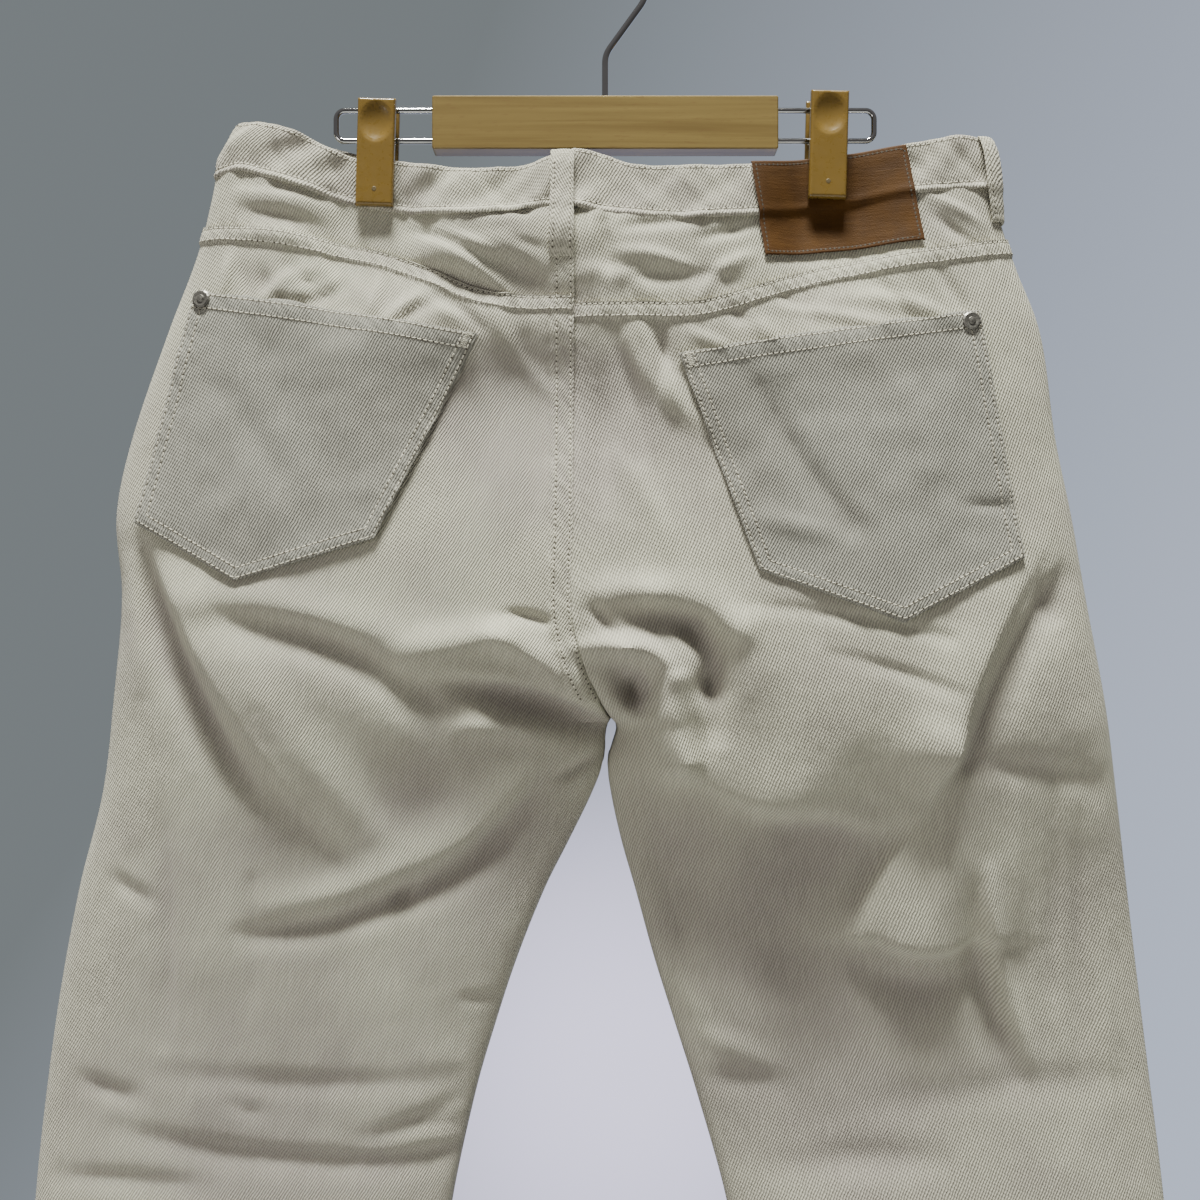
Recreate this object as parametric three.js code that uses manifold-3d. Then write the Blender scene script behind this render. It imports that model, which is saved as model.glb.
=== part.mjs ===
// A pair of ecru denim jeans, hung by the waistband from a wooden bar hanger with two clips.
// Millimetres. The back of the jeans faces -Y and the front +Y, X runs to the right as the back is
// seen, and Z is up. The origin is the top of the hook's inside, where the rail carries the hanger.
import * as THREE from "three";
import { mergeVertices } from "three/addons/utils/BufferGeometryUtils.js";
import Module from "manifold-3d";

const wasm = await Module();
wasm.setup();

// Cloth
const WALL = 1.5; // the denim, one layer
const SEAM_GAP = 0.3;
const BAND_PROUD = 0.9; // how far the waistband's face stands over the panels below it
const BAND_THICK = 2.4;
const LIE = 0.3; // a sewn-on piece lies this far off what it is sewn to

// Heights of the hanging garment
const HEM_Z = -1110;
const CROTCH_Z = -447;
const CROTCH_CURVE = 60; // the seat seam turns under the crotch over this height
const CROTCH_REACH = 36; // and this far out to the sides
const FOLD_POWER = 0.5; // how squarely a leg's section turns at its folded edges
const PINCHED = 3.4; // half the depth of the cloth inside the clips
const PINCH_HALF = 13; // the cloth is flat this far on either side of a clip's middle
const PINCH_FADE = 24; // and swells over about this width beyond
const PINCH_FOOT = -156; // the squeeze starts to fade here, below the clips
const PINCH_DROP = 90; // and is gone this far below
const SIDE_SEAM = 0.3; // radians past the folded edge, on the front
const INSEAM = 0.25;
const CLIP_X = { left: -131, right: 127 };

// The tube's folded edges, and how far each half of the back and the front stand out from the
// plane through them: one row for each height.
const OUTLINE = table("z left right backLeft backRight front", [
  [-104, -210, 218, 9, 9, 9],
  [-122, -220, 221, 11, 11, 11],
  [-148, -225.5, 223.5, 14, 14, 14],
  [-182, -233.5, 232.5, 18, 18, 18],
  [-226, -249.5, 248.5, 23, 23, 22],
  [-287, -269.5, 256.5, 29, 30, 26],
  [-331, -278, 265, 33, 34, 28],
  [-377, -274.5, 272.5, 36, 38, 30],
  [-437, -279.5, 283.5, 36, 39, 31],
  [-488, -286, 291, 32, 31, 33],
  [-544, -300, 298.5, 29, 22, 36],
  [-622, -314, 308, 27, 19, 38],
  [-725, -325.5, 320, 27, 22, 35],
  [-900, -335, 335, 26, 24, 30],
  [HEM_Z, -341, 341, 24, 24, 24],
]);
// The seams at the middle of the back and of the front, above the crotch.
const MIDDLE = table("z back front", [
  [-104, -17.5, 13],
  [-335, -18, 13],
  [-385, -18.5, 10],
  [-413, -12.8, 7.5],
  [-430, -6, 5],
  [CROTCH_Z, 3.5, 3.5],
]);
// The inner folded edges of the legs, below the crotch.
const INNER = table("z left right", [
  [CROTCH_Z, 3.2, 3.8],
  [-452, 1, 6.5],
  [-470, -0.8, 1.4],
  [-488, -7, 3],
  [-516, -20.5, 9],
  [-544, -34.5, 17],
  [-584, -50.5, 28],
  [-622, -63, 40],
  [-660, -74, 52],
  [-725, -88, 70],
  [-900, -116, 104],
  [HEM_Z, -144, 139],
]);
// Seams that run across, from the middle (t 0) to the folded side (t 1), left and right of the back.
const ACROSS_BACK = table("t topLeft topRight bandLeft bandRight yokeLeft yokeRight", [
  [0, -123, -123, -157.5, -158.5, -208, -212],
  [0.06, -126, -125.5, -157.5, -160.5, -207.5, -212],
  [0.14, -132.5, -131.5, -160.5, -163, -207, -212],
  [0.26, -134.5, -132.5, -162.5, -164.5, -202, -212],
  [0.36, -132, -132, -161, -163.5, -192, -205.5],
  [0.5, -127, -129, -156.5, -159, -181, -194],
  [0.64, -124, -124.5, -151.5, -154, -175, -186.5],
  [0.8, -112, -119, -142, -149, -169.5, -181],
  [0.93, -106, -113.5, -135, -145.5, -167, -176],
  [1, -105, -115, -138, -145, -167, -173.5],
]);
const ACROSS_FRONT = table("t topLeft topRight bandLeft bandRight", [
  [0, -148, -148, -184, -184],
  [0.2, -145, -145, -181, -181],
  [0.45, -131, -132, -165, -166],
  [0.6, -126, -127, -159, -161],
  [0.8, -113, -122, -147, -155],
  [1, -105, -115, -138, -145],
]);

// The largest folds. A fold runs from (x0, z0) to (x1, z1) and bows sideways by bow; left and right
// are its widths on either side as it runs, and start, middle and end its heights, troughs negative.
const FOLD_COLUMNS = "x0 z0 x1 z1 bow left right start middle end";
const BACK_FOLDS = table(FOLD_COLUMNS, [
  [-258, -362, -192, -500, -7, 9, 11, -2, -10, -1], // trough outside the left seat
  [-250, -350, -142, -522, -9, 18, 7, 2, 4.5, 1],
  [-204, -384, -86, -434, 6, 13, 24, -4, -8, -3], // under the left seat
  [-114, -408, -5, -436, 12, 14, 12, 2, 6, 4], // from the crotch, left
  [-88, -430, 0, -444, 4, 6, 9, -4, -10, -6],
  [-202, -562, -114, -543, -6, 4, 9, -1, -5, -5], // crease across the left thigh
  [-114, -543, -26, -466, -11, 4, 10, -5, -5, -1],
  [-112, -531, -40, -482, -8, 22, 6, 2, 4, 2],
  [-8, -401, 38, -414, -8, 8, 10, 3, 6, 7], // round the crotch, right
  [38, -414, 44, -466, -8, 8, 9, 7, 7, 5],
  [8, -416, 22, -440, 3, 10, 12, -9, -15, -8],
  [52, -395, 50, -458, -10, 11, 12, -6, -8, -4],
  [52, -470, 150, -494, 3, 32, 8, 3, 6, 4], // under the right seat
  [78, -494, 152, -506, 2, 6, 34, -4, -9, -7],
  [196, -480, 158, -566, -6, 20, 32, 3, 9, 6],
  [234, -372, 184, -488, -7, 22, 4, -2, -10, -4], // outside the right seat
  [205, -526, 232, -636, 5, 6, 8, 3, 6, 2], // down the right thigh
  [132, -520, 128, -600, 0, 30, 26, -2, -4, -1],
  [-148, -158, -58, -205, 5, 5, 11, 3, 6, 2], // across the yoke from the left clip
  [-110, -166, -34, -206, 4, 7, 8, -3, -7, -4],
  [6, -170, 58, -206, -3, 10, 10, -1, -4, -2],
  [-330, -660, -150, -705, 10, 12, 12, -1, -3, -2],
  [-300, -820, -150, -850, 12, 16, 18, -1, -4, -1],
  [120, -860, 320, -820, 12, 16, 18, -1, -4, -1],
]);
const FRONT_FOLDS = table(FOLD_COLUMNS, [
  [-8, -438, -120, -398, 10, 12, 14, 4, 6, 1], // whiskers from the crotch
  [-6, -446, -130, -440, 8, 8, 12, -4, -7, -1],
  [14, -438, 128, -396, -10, 14, 12, 4, 6, 1],
  [12, -446, 140, -442, -8, 12, 8, -4, -7, -1],
  [-250, -300, -196, -470, 8, 14, 16, -2, -6, -1],
  [252, -310, 200, -480, -8, 16, 14, -2, -6, -1],
  [-130, -160, -60, -260, 6, 10, 14, 1, 4, 1], // from the clips
  [126, -160, 70, -270, -6, 14, 10, 1, 4, 1],
  [-240, -560, -60, -540, -12, 10, 16, -1, -5, -2],
  [60, -545, 250, -575, 12, 16, 10, -2, -5, -1],
  [-310, -690, -110, -720, 10, 12, 14, -1, -4, -1],
  [100, -720, 300, -690, 10, 14, 12, -1, -4, -1],
]);

// Back pockets: corners as (x, z), with the point at the foot of each pocket.
const BACK_POCKETS = {
  left: {
    topIn: [-71, -230.5],
    topOut: [-231, -205.5],
    footOut: [-261, -336],
    point: [-202.5, -369],
    footIn: [-126.5, -345.5],
  },
  right: {
    topIn: [41, -241.5],
    topOut: [209, -217.5],
    footOut: [230, -356],
    point: [162.5, -391],
    footIn: [84, -363],
  },
};
const POCKET_LIFT = 1;
const POCKET_GAPE = 1.4; // the pocket's mouth stands open by this much more
const PATCH = { topIn: [82, -131], topOut: [171, -120.5], footOut: [180, -176.5], footIn: [89.5, -185] };
const PATCH_THICK = 1.3;
const PATCH_LIFT = 1.2;

// Belt loops: how far round the waist from the back seam, and how far down they reach.
const LOOP_WIDTH = 13.5;
const LOOP_THICK = 1.6;
const LOOP_LIFT = 0.8;
const LOOP_BOW = 2.4;
const LOOPS = [
  { name: "belt_loop_back", side: "left", round: 6.8, length: 63 },
  { name: "belt_loop_side_left", side: "left", round: 243, length: 50 },
  { name: "belt_loop_side_right", side: "right", round: 243, length: 50 },
  { name: "belt_loop_front_left", side: "left", round: 365, length: 54 },
  { name: "belt_loop_front_right", side: "right", round: 403, length: 54 },
];

// Front: scooped pocket mouths with the facing behind, the fly and the button
const SCOOP_COLUMN = 6; // the column of the front panel at which the pocket's scoop starts
const FACING_TUCK = 14; // the facing runs this far under the front panel
const FACING_DEEP = 1.6; // and lies this far behind it
const FACING_WALL = 1.2;
const FLY_WIDTH = 36;
const FLY_LENGTH = 150;
const FLY_LIFT = 0.7;
const FLY_LAP = 5; // the fly reaches this far past the middle
const LAP_COLUMNS = 3; // the waistband's left end laps over the right one by this many columns
const LAP_FROM = 4.9; // the turn at which it starts to rise
const BUTTON_RADIUS = 8.5;
const BUTTON_IN = 15; // from the middle of the front
const RIVET_RADIUS = 5.2;
const RIVET_LIFT = 0.4;

// Hanger
const WIRE_RADIUS = 1.7;
const HOOK_RADIUS = 1.9;
const HOOK_BEND = 24.6;
const HOOK_LEAN = THREE.MathUtils.degToRad(36);
const HOOK_TIP = THREE.MathUtils.degToRad(200);
const BAR = { length: 198, height: 30.5, depth: 12.5, top: -90.5 };
const BAIL = { reach: 155, height: 17.5, corner: 5 };
const CLIP = { width: 21.5, length: 61, leaf: 5, top: -91.5, lean: THREE.MathUtils.degToRad(1.6) };

function table(columns, rows) {
  const names = columns.split(" ");
  return rows.map((row) => Object.fromEntries(names.map((name, i) => [name, row[i]])));
}

// Smooth interpolation down a table's column, by its first column.
function along(rows, column, at, key = "z") {
  const sign = rows[0][key] < rows[rows.length - 1][key] ? 1 : -1;
  const last = rows.length - 1;
  let i = rows.findIndex((row) => sign * row[key] > sign * at) - 1;
  if (i === -2) i = last - 1;
  i = Math.min(Math.max(i, 0), last - 1);
  const slope = (j) => {
    const [a, b] = [rows[Math.max(j - 1, 0)], rows[Math.min(j + 1, last)]];
    return (b[column] - a[column]) / (b[key] - a[key]);
  };
  const [p, q] = [rows[i], rows[i + 1]];
  const span = q[key] - p[key];
  const s = Math.min(Math.max((at - p[key]) / span, 0), 1);
  const [s2, s3] = [s * s, s * s * s];
  return (
    p[column] * (2 * s3 - 3 * s2 + 1) + q[column] * (3 * s2 - 2 * s3) +
    span * (slope(i) * (s3 - 2 * s2 + s) + slope(i + 1) * (s3 - s2))
  );
}

const clamp = (v, low, high) => Math.min(Math.max(v, low), high);
const smooth = (v) => clamp(v, 0, 1) ** 2 * (3 - 2 * clamp(v, 0, 1));
const sideSign = { left: -1, right: 1 };
const DEPTH_BACK = { left: "backLeft", right: "backRight" };

// How high the folds of a table stand at (x, z).
function folds(rows, x, z) {
  let sum = 0;
  for (const f of rows) {
    const [dx, dz] = [f.x1 - f.x0, f.z1 - f.z0];
    const length = Math.hypot(dx, dz);
    const u = ((x - f.x0) * dx + (z - f.z0) * dz) / length ** 2;
    const v = clamp(u, 0, 1);
    const off = (dx * (z - f.z0) - dz * (x - f.x0)) / length - 4 * f.bow * v * (1 - v);
    const wide = off > 0 ? f.left : f.right;
    const past = ((u - v) * length) / (f.left + f.right);
    if (Math.abs(off) > 3 * wide || Math.abs(past) > 3) continue;
    const height =
      f.start * (1 - v) * (1 - 2 * v) + 4 * f.middle * v * (1 - v) + f.end * v * (2 * v - 1);
    sum += height * Math.exp(-((off / wide) ** 2) - (2 * past) ** 2);
  }
  return sum;
}

// How strongly the clips squeeze the cloth at (x, z), from 0 to 1.
function squeeze(x, z) {
  const beyond = Math.min(...Object.values(CLIP_X).map((at) => Math.abs(x - at))) - PINCH_HALF;
  const near = Math.exp(-((Math.max(beyond, 0) / PINCH_FADE) ** 2));
  return near * (1 - smooth((PINCH_FOOT - z) / PINCH_DROP));
}

// Where the cloth's inner edge is: the seams at the middle, and the legs' inner folds below them.
function innerEdge(side, front, z) {
  return z > CROTCH_Z ? along(MIDDLE, front ? "front" : "back", z) : along(INNER, side, z);
}

// A point of the cloth's face. Round a leg, turn runs from 0 at the middle or inner edge, over the
// back, to pi at the outer edge, and over the front to two pi. out moves the point off the cloth.
function clothAt(side, turn, z) {
  const front = turn < 0 || (turn > Math.PI && turn <= 2 * Math.PI);
  const open = z > CROTCH_Z;
  const inner = innerEdge(side, front, z);
  const x = inner + ((along(OUTLINE, side, z) - inner) * (1 - Math.cos(turn))) / 2;
  const rise = Math.abs(Math.sin(turn));
  let full = rise ** FOLD_POWER;
  let calm = Math.min(1, 2 * rise); // no folds on the very edge
  if (open && Math.cos(turn) > 0) {
    // Above the crotch the two halves join, so the middle fills up to the legs' full depth.
    const above = z - CROTCH_Z;
    const fill = Math.sqrt(1 - clamp(1 - above / CROTCH_CURVE, 0, 1) ** 2);
    const reach = CROTCH_REACH + 3 * above;
    full += fill * (1 - full) * Math.exp(-(((x - inner) / reach) ** 2));
    calm = Math.max(calm, fill);
  }
  const stands = front ? "front" : DEPTH_BACK[side];
  let depth = along(OUTLINE, stands, z) * full;
  const held = squeeze(x, z);
  if (depth > PINCHED) depth -= held * (depth - PINCHED);
  depth += calm * (1 - held) * folds(front ? FRONT_FOLDS : BACK_FOLDS, x, z);
  return new THREE.Vector3(x, (front ? 1 : -1) * depth, z);
}

// The cloth's outward direction, from wide steps so that it stays steady where the legs part.
function facing(side, turn, z) {
  const open = z > CROTCH_Z;
  const low = open && Math.abs(turn) < 0.15 ? turn : turn - 0.12;
  const high = open && Math.abs(turn - 2 * Math.PI) < 0.15 ? turn : turn + 0.12;
  const across = clothAt(side, high, z).sub(clothAt(side, low, z));
  const step = open && z < CROTCH_Z + 8 ? 8 : 4;
  const bottom = open ? Math.max(z - step, CROTCH_Z) : z - step;
  const down = clothAt(side, turn, bottom).sub(clothAt(side, turn, z + step));
  return across.cross(down).multiplyScalar(-sideSign[side]).normalize();
}

function clothOff(side, turn, z, out) {
  return clothAt(side, turn, z).addScaledVector(facing(side, turn, z), out);
}

// The turn at which the back (or front) of a leg has this x.
function turnAt(side, x, z, front = false) {
  const inner = innerEdge(side, front, z);
  const t = clamp((x - inner) / (along(OUTLINE, side, z) - inner), 0.0005, 0.9995);
  const turn = Math.acos(1 - 2 * t);
  return front ? 2 * Math.PI - turn : turn;
}

// Share of the way from the middle to the folded side.
const across = (turn) => (1 - Math.cos(turn)) / 2;

// A closed solid from two grids of points, a face and a back of the same rows and columns.
function slab(face, back) {
  const [rows, columns] = [face.length, face[0].length];
  const points = [...face.flat(), ...back.flat()];
  const at = (i, j) => i * columns + j;
  const behind = rows * columns;
  const faces = [];
  const quad = (a, b, c, d) => faces.push(a, b, c, a, c, d);
  for (let i = 0; i + 1 < rows; i++) {
    for (let j = 0; j + 1 < columns; j++) {
      const [a, b, c, d] = [at(i, j), at(i, j + 1), at(i + 1, j + 1), at(i + 1, j)];
      quad(a, b, c, d);
      quad(behind + d, behind + c, behind + b, behind + a);
    }
  }
  const rim = [];
  for (let j = 0; j + 1 < columns; j++) rim.push(at(0, j));
  for (let i = 0; i + 1 < rows; i++) rim.push(at(i, columns - 1));
  for (let j = columns - 1; j > 0; j--) rim.push(at(rows - 1, j));
  for (let i = rows - 1; i > 0; i--) rim.push(at(i, 0));
  // Both sides of a seam are cut into triangles alike, whichever way their rims run.
  rim.forEach((a, k) => {
    const b = rim[(k + 1) % rim.length];
    if (k < rim.length / 2) quad(b, a, behind + a, behind + b);
    else quad(a, behind + a, behind + b, b);
  });
  return solidOf(points, faces);
}

// A geometry whose faces point out, whichever way its grid ran.
function solidOf(points, faces) {
  let volume = 0;
  for (let k = 0; k < faces.length; k += 3) {
    const [a, b, c] = [points[faces[k]], points[faces[k + 1]], points[faces[k + 2]]];
    volume += a.dot(b.clone().cross(c));
  }
  if (volume < 0) {
    for (let k = 0; k < faces.length; k += 3) [faces[k], faces[k + 1]] = [faces[k + 1], faces[k]];
  }
  const geometry = new THREE.BufferGeometry().setFromPoints(points);
  geometry.setIndex(faces);
  return geometry;
}

// Draws the grid's edges in along the cloth, so that neighbours stay a seam's gap apart.
function inset(grid, gap = SEAM_GAP / 2) {
  const pull = (point, towards) => {
    const way = towards.clone().sub(point);
    return point.clone().addScaledVector(way, gap / way.length());
  };
  const [rows, columns] = [grid.length, grid[0].length];
  const made = grid.map((row) => [...row]);
  for (let i = 0; i < rows; i++) {
    made[i][0] = pull(made[i][0], grid[i][1]);
    made[i][columns - 1] = pull(made[i][columns - 1], grid[i][columns - 2]);
  }
  for (let j = 0; j < columns; j++) {
    made[0][j] = pull(made[0][j], made[1][j]);
    made[rows - 1][j] = pull(made[rows - 1][j], made[rows - 2][j]);
  }
  return made;
}

// A piece of cloth: where(u, v) gives its turn and height, and out how far its face stands off.
function cloth(side, rows, columns, where, out = () => 0, thick = WALL) {
  const grid = (move) =>
    rows.map((v) =>
      columns.map((u) => {
        const { turn, z } = where(u, v);
        return clothOff(side, turn, z, out(u, v) - move);
      }),
    );
  return slab(inset(grid(0)), inset(grid(thick)));
}

const steps = (count) => Array.from({ length: count + 1 }, (_, i) => i / count);
const mix = (a, b, t) => a + (b - a) * t;

const jeans = new THREE.Group();

const DENIM = new THREE.MeshStandardMaterial({ color: 0xcfcbb9, roughness: 0.9, metalness: 0 });
const POCKET_DENIM = new THREE.MeshStandardMaterial({ color: 0xc6c3b8, roughness: 0.9, metalness: 0 });
const LEATHER = new THREE.MeshStandardMaterial({ color: 0x84592e, roughness: 0.6, metalness: 0 });
const WORN_STEEL = new THREE.MeshStandardMaterial({ color: 0x8c8a82, roughness: 0.4, metalness: 1 });
const CHROME = new THREE.MeshStandardMaterial({ color: 0xd8dadc, roughness: 0.08, metalness: 1 });
const BEECH = new THREE.MeshStandardMaterial({ color: 0xc2a468, roughness: 0.5, metalness: 0 });
const CLIP_TAN = new THREE.MeshStandardMaterial({ color: 0xbb9455, roughness: 0.4, metalness: 0 });

function add(name, geometry, material, group = jeans) {
  const mesh = new THREE.Mesh(geometry, material);
  mesh.name = name;
  group.add(mesh);
  return mesh;
}

// Heights of the rows down a leg: close over the seat and thigh, wide towards the hem.
const LEG_ROWS = [
  ...Array.from({ length: 16 }, (_, i) => mix(-226, -436, i / 15)),
  CROTCH_Z, -449.5, -453, -461,
  ...Array.from({ length: 14 }, (_, i) => mix(-475, -685, i / 13)),
  -720, -765, -815, -870, -930, -990, -1050, HEM_Z + 12, HEM_Z,
];
const TOP_ROWS = 5; // the first rows close up to the panel's top edge
const inseamTurn = (z) => INSEAM * smooth((CROTCH_Z - z) / 40);

// Height of a leg row at a column whose top edge is at top, for a panel that starts at row first.
function legRow(row, top, first = 0) {
  if (row > TOP_ROWS) return LEG_ROWS[row];
  return mix(top, LEG_ROWS[TOP_ROWS], (row - first) / (TOP_ROWS - first));
}

const TOP = { left: "topLeft", right: "topRight" };
const BAND = { left: "bandLeft", right: "bandRight" };
const YOKE = { left: "yokeLeft", right: "yokeRight" };

const seamTurn = Math.PI + SIDE_SEAM;
const aroundClip = (turn) => [-0.29, -0.11, 0.11, 0.29].map((step) => turn + step);
const byMiddle = [0, 0.2, 0.45, 0.8, 1.15];

// The turns of the cloth's columns, shared by all that meets at a seam, close together at the clips.
function backTurns(side) {
  const clip = aroundClip(turnAt(side, CLIP_X[side], -150));
  const outer = [1, 2, 3].map((i) => mix(clip[3], Math.PI, i / 3));
  return [...byMiddle, ...clip, ...outer, seamTurn];
}

function frontTurns(side) {
  const clip = aroundClip(turnAt(side, CLIP_X[side], -150, true));
  const outer = [0, 1, 2].map((i) => mix(seamTurn, clip[0], i / 3));
  const inner = byMiddle.map((turn) => 2 * Math.PI - turn).reverse();
  return [...outer, ...clip, (clip[3] + inner[0]) / 2, ...inner];
}

// The front panel's top edge: along the waistband, then down the pocket's scoop to the side seam,
// which it meets at the back panel's second row.
function frontTop(side, turn) {
  const band = (at) => along(ACROSS_FRONT, BAND[side], across(at), "t");
  const foot = legRow(1, along(ACROSS_BACK, YOKE[side], across(seamTurn), "t"));
  const start = across(frontTurns(side)[SCOOP_COLUMN]);
  const w = clamp((across(turn) - start) / (across(seamTurn) - start), 0, 1);
  return band(turn) - (band(seamTurn) - foot) * Math.sqrt(1 - (1 - w) ** 2);
}

for (const side of ["left", "right"]) {
  const legRows = LEG_ROWS.map((_, i) => i);

  add(
    `back_panel_${side}`,
    cloth(side, legRows, backTurns(side), (turn, row) => {
      const top = along(ACROSS_BACK, YOKE[side], across(turn), "t");
      const shifted = turn - inseamTurn(LEG_ROWS[row]) * (1 - turn / seamTurn);
      return { turn: shifted, z: legRow(row, top) };
    }),
    DENIM,
  );
  add(
    `yoke_${side}`,
    cloth(side, steps(3), backTurns(side), (turn, v) => {
      const foot = along(ACROSS_BACK, YOKE[side], across(turn), "t");
      return { turn, z: mix(bandEdge(side, turn, BAND[side]), foot, v) };
    }),
    DENIM,
  );
  add(
    `front_panel_${side}`,
    cloth(side, legRows.slice(1), frontTurns(side), (turn, row) => {
      const share = (turn - seamTurn) / (2 * Math.PI - seamTurn);
      const shifted = turn - inseamTurn(LEG_ROWS[row]) * share;
      return { turn: shifted, z: legRow(row, frontTop(side, turn), 1) };
    }),
    DENIM,
  );
  add(
    `pocket_facing_${side}`,
    cloth(
      side,
      steps(5),
      frontTurns(side).slice(0, SCOOP_COLUMN + 2),
      (turn, v) => {
        const band = along(ACROSS_FRONT, BAND[side], across(turn), "t");
        return { turn, z: mix(band, frontTop(side, turn) - FACING_TUCK, v) };
      },
      () => -WALL - FACING_DEEP,
      FACING_WALL,
    ),
    DENIM,
  );
}

// Distance round the waist at half the waistband's height, measured from the back seam.
function turnRound(side, distance) {
  const count = 400;
  let [gone, turn] = [0, 0];
  let here = clothAt(side, 0, bandMiddle(side, 0));
  while (gone < distance && turn < 2 * Math.PI) {
    turn += (2 * Math.PI) / count;
    const next = clothAt(side, turn, bandMiddle(side, turn));
    gone += next.distanceTo(here);
    here = next;
  }
  return turn;
}

function bandEdge(side, turn, column) {
  const t = across(turn);
  return turn > Math.PI ? along(ACROSS_FRONT, column, t, "t") : along(ACROSS_BACK, column, t, "t");
}

function bandMiddle(side, turn) {
  return (bandEdge(side, turn, TOP[side]) + bandEdge(side, turn, BAND[side])) / 2;
}

// The waistband: one strip from the right end at the front, round the back, to the left end, which
// laps over the right one.
{
  const half = (side, turns, lap = () => 0) => turns.map((turn) => ({ side, turn, lap: lap(turn) }));
  const waist = (side) => [...backTurns(side), ...frontTurns(side).slice(1)];
  const lapped = frontTurns("right").slice(-LAP_COLUMNS - 1, -1).reverse();
  const way = [
    ...half("right", waist("right").slice(1).reverse()),
    ...half("left", waist("left"), (turn) => smooth((turn - LAP_FROM) / (2 * Math.PI - LAP_FROM))),
    ...half("right", lapped, () => 1),
  ];
  const grid = (out) =>
    steps(3).map((v) =>
      way.map(({ side, turn, lap }) => {
        const z = mix(bandEdge(side, turn, TOP[side]), bandEdge(side, turn, BAND[side]), v);
        return clothOff(side, turn, z, out + lap * (BAND_THICK + LIE));
      }),
    );
  add("waistband", slab(inset(grid(BAND_PROUD)), inset(grid(BAND_PROUD - BAND_THICK))), DENIM);
}

// Something laid on the cloth between four corners, or five with a point at the foot.
function patchWork(corners, out, thick, columns, rows) {
  const { topIn, topOut, footOut, footIn, point } = corners;
  const foot = point ? [footIn, point, footOut] : [footIn, footOut];
  const share = point
    ? Math.hypot(point[0] - footIn[0], point[1] - footIn[1]) /
      (Math.hypot(point[0] - footIn[0], point[1] - footIn[1]) +
        Math.hypot(footOut[0] - point[0], footOut[1] - point[1]))
    : 1;
  const inner = steps(columns).map((u) => u * share);
  const outer = steps(columns - 1).slice(1).map((u) => mix(share, 1, u));
  const cuts = point ? [...inner, ...outer] : steps(columns);
  const mixed = (a, b, t) => [mix(a[0], b[0], t), mix(a[1], b[1], t)];
  const grid = (move) =>
    steps(rows).map((v) =>
      cuts.map((u) => {
        const before = u <= share;
        const low = before ? mixed(foot[0], foot[1], u / share) : mixed(foot[1], foot[2], (u - share) / (1 - share));
        const [x, z] = mixed(mixed(topIn, topOut, u), low, v);
        const side = corners === BACK_POCKETS.left ? "left" : "right";
        return clothOff(side, turnAt(side, x, z), z, out(v) + move);
      }),
    );
  return slab(grid(thick), grid(0));
}

for (const side of ["left", "right"]) {
  const lift = (v) => POCKET_LIFT + POCKET_GAPE * (1 - smooth(v / 0.3));
  add(`back_pocket_${side}`, patchWork(BACK_POCKETS[side], lift, WALL, 6, 10), POCKET_DENIM);
}
add("leather_patch", patchWork(PATCH, () => BAND_PROUD + PATCH_LIFT, PATCH_THICK, 8, 5), LEATHER);

// Belt loops: strips folded over the top edge and sewn down below the waistband.
for (const { name, side, round, length } of LOOPS) {
  const middle = turnRound(side, round);
  const ends = [-0.5, 0.5].map((end) => turnRound(side, round + end * LOOP_WIDTH));
  const top = bandEdge(side, middle, TOP[side]) - 0.6;
  const grid = (move) =>
    steps(8).map((v) =>
      [ends[0], middle, ends[1]].map((turn) => {
        const z = top - v * length;
        const onBand = smooth((z - bandEdge(side, middle, BAND[side]) + 8) / 7);
        const bow = LOOP_BOW * Math.sin(Math.PI * v) ** 0.8;
        return clothOff(side, turn, z, LOOP_LIFT + BAND_PROUD * onBand + bow + move);
      }),
    );
  add(name, slab(grid(LOOP_THICK), grid(0)), DENIM);
}

// The fly: a facing sewn to the left front, which laps a little past the middle.
{
  const grid = (move) =>
    steps(7).map((v) =>
      steps(4).map((u) => {
        const top = along(ACROSS_FRONT, "bandLeft", 0.03, "t") - 1;
        const z = top - v * FLY_LENGTH;
        const middle = along(MIDDLE, "front", z);
        const round = FLY_WIDTH * Math.sqrt(1 - clamp((v - 0.78) / 0.22, 0, 0.985) ** 2);
        const x = mix(middle + FLY_LAP, middle + FLY_LAP - round, u);
        const side = x > middle ? "right" : "left";
        return clothOff(side, turnAt(side, x, z, true), z, FLY_LIFT + move);
      }),
    );
  add("fly", slab(grid(WALL), grid(0)), DENIM);
}

// A round metal piece with its axis along Z, turned from a profile of (radius, height) pairs.
function turned(profile, segments = 14) {
  return new THREE.LatheGeometry(profile.map(([r, h]) => new THREE.Vector2(r, h)), segments);
}

// Sets a turned piece on the cloth, facing out.
function setOnCloth(name, geometry, side, turn, z, out) {
  const mesh = add(name, geometry, WORN_STEEL);
  mesh.position.copy(clothOff(side, turn, z, out));
  mesh.quaternion.setFromUnitVectors(new THREE.Vector3(0, 1, 0), facing(side, turn, z));
}

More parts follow.
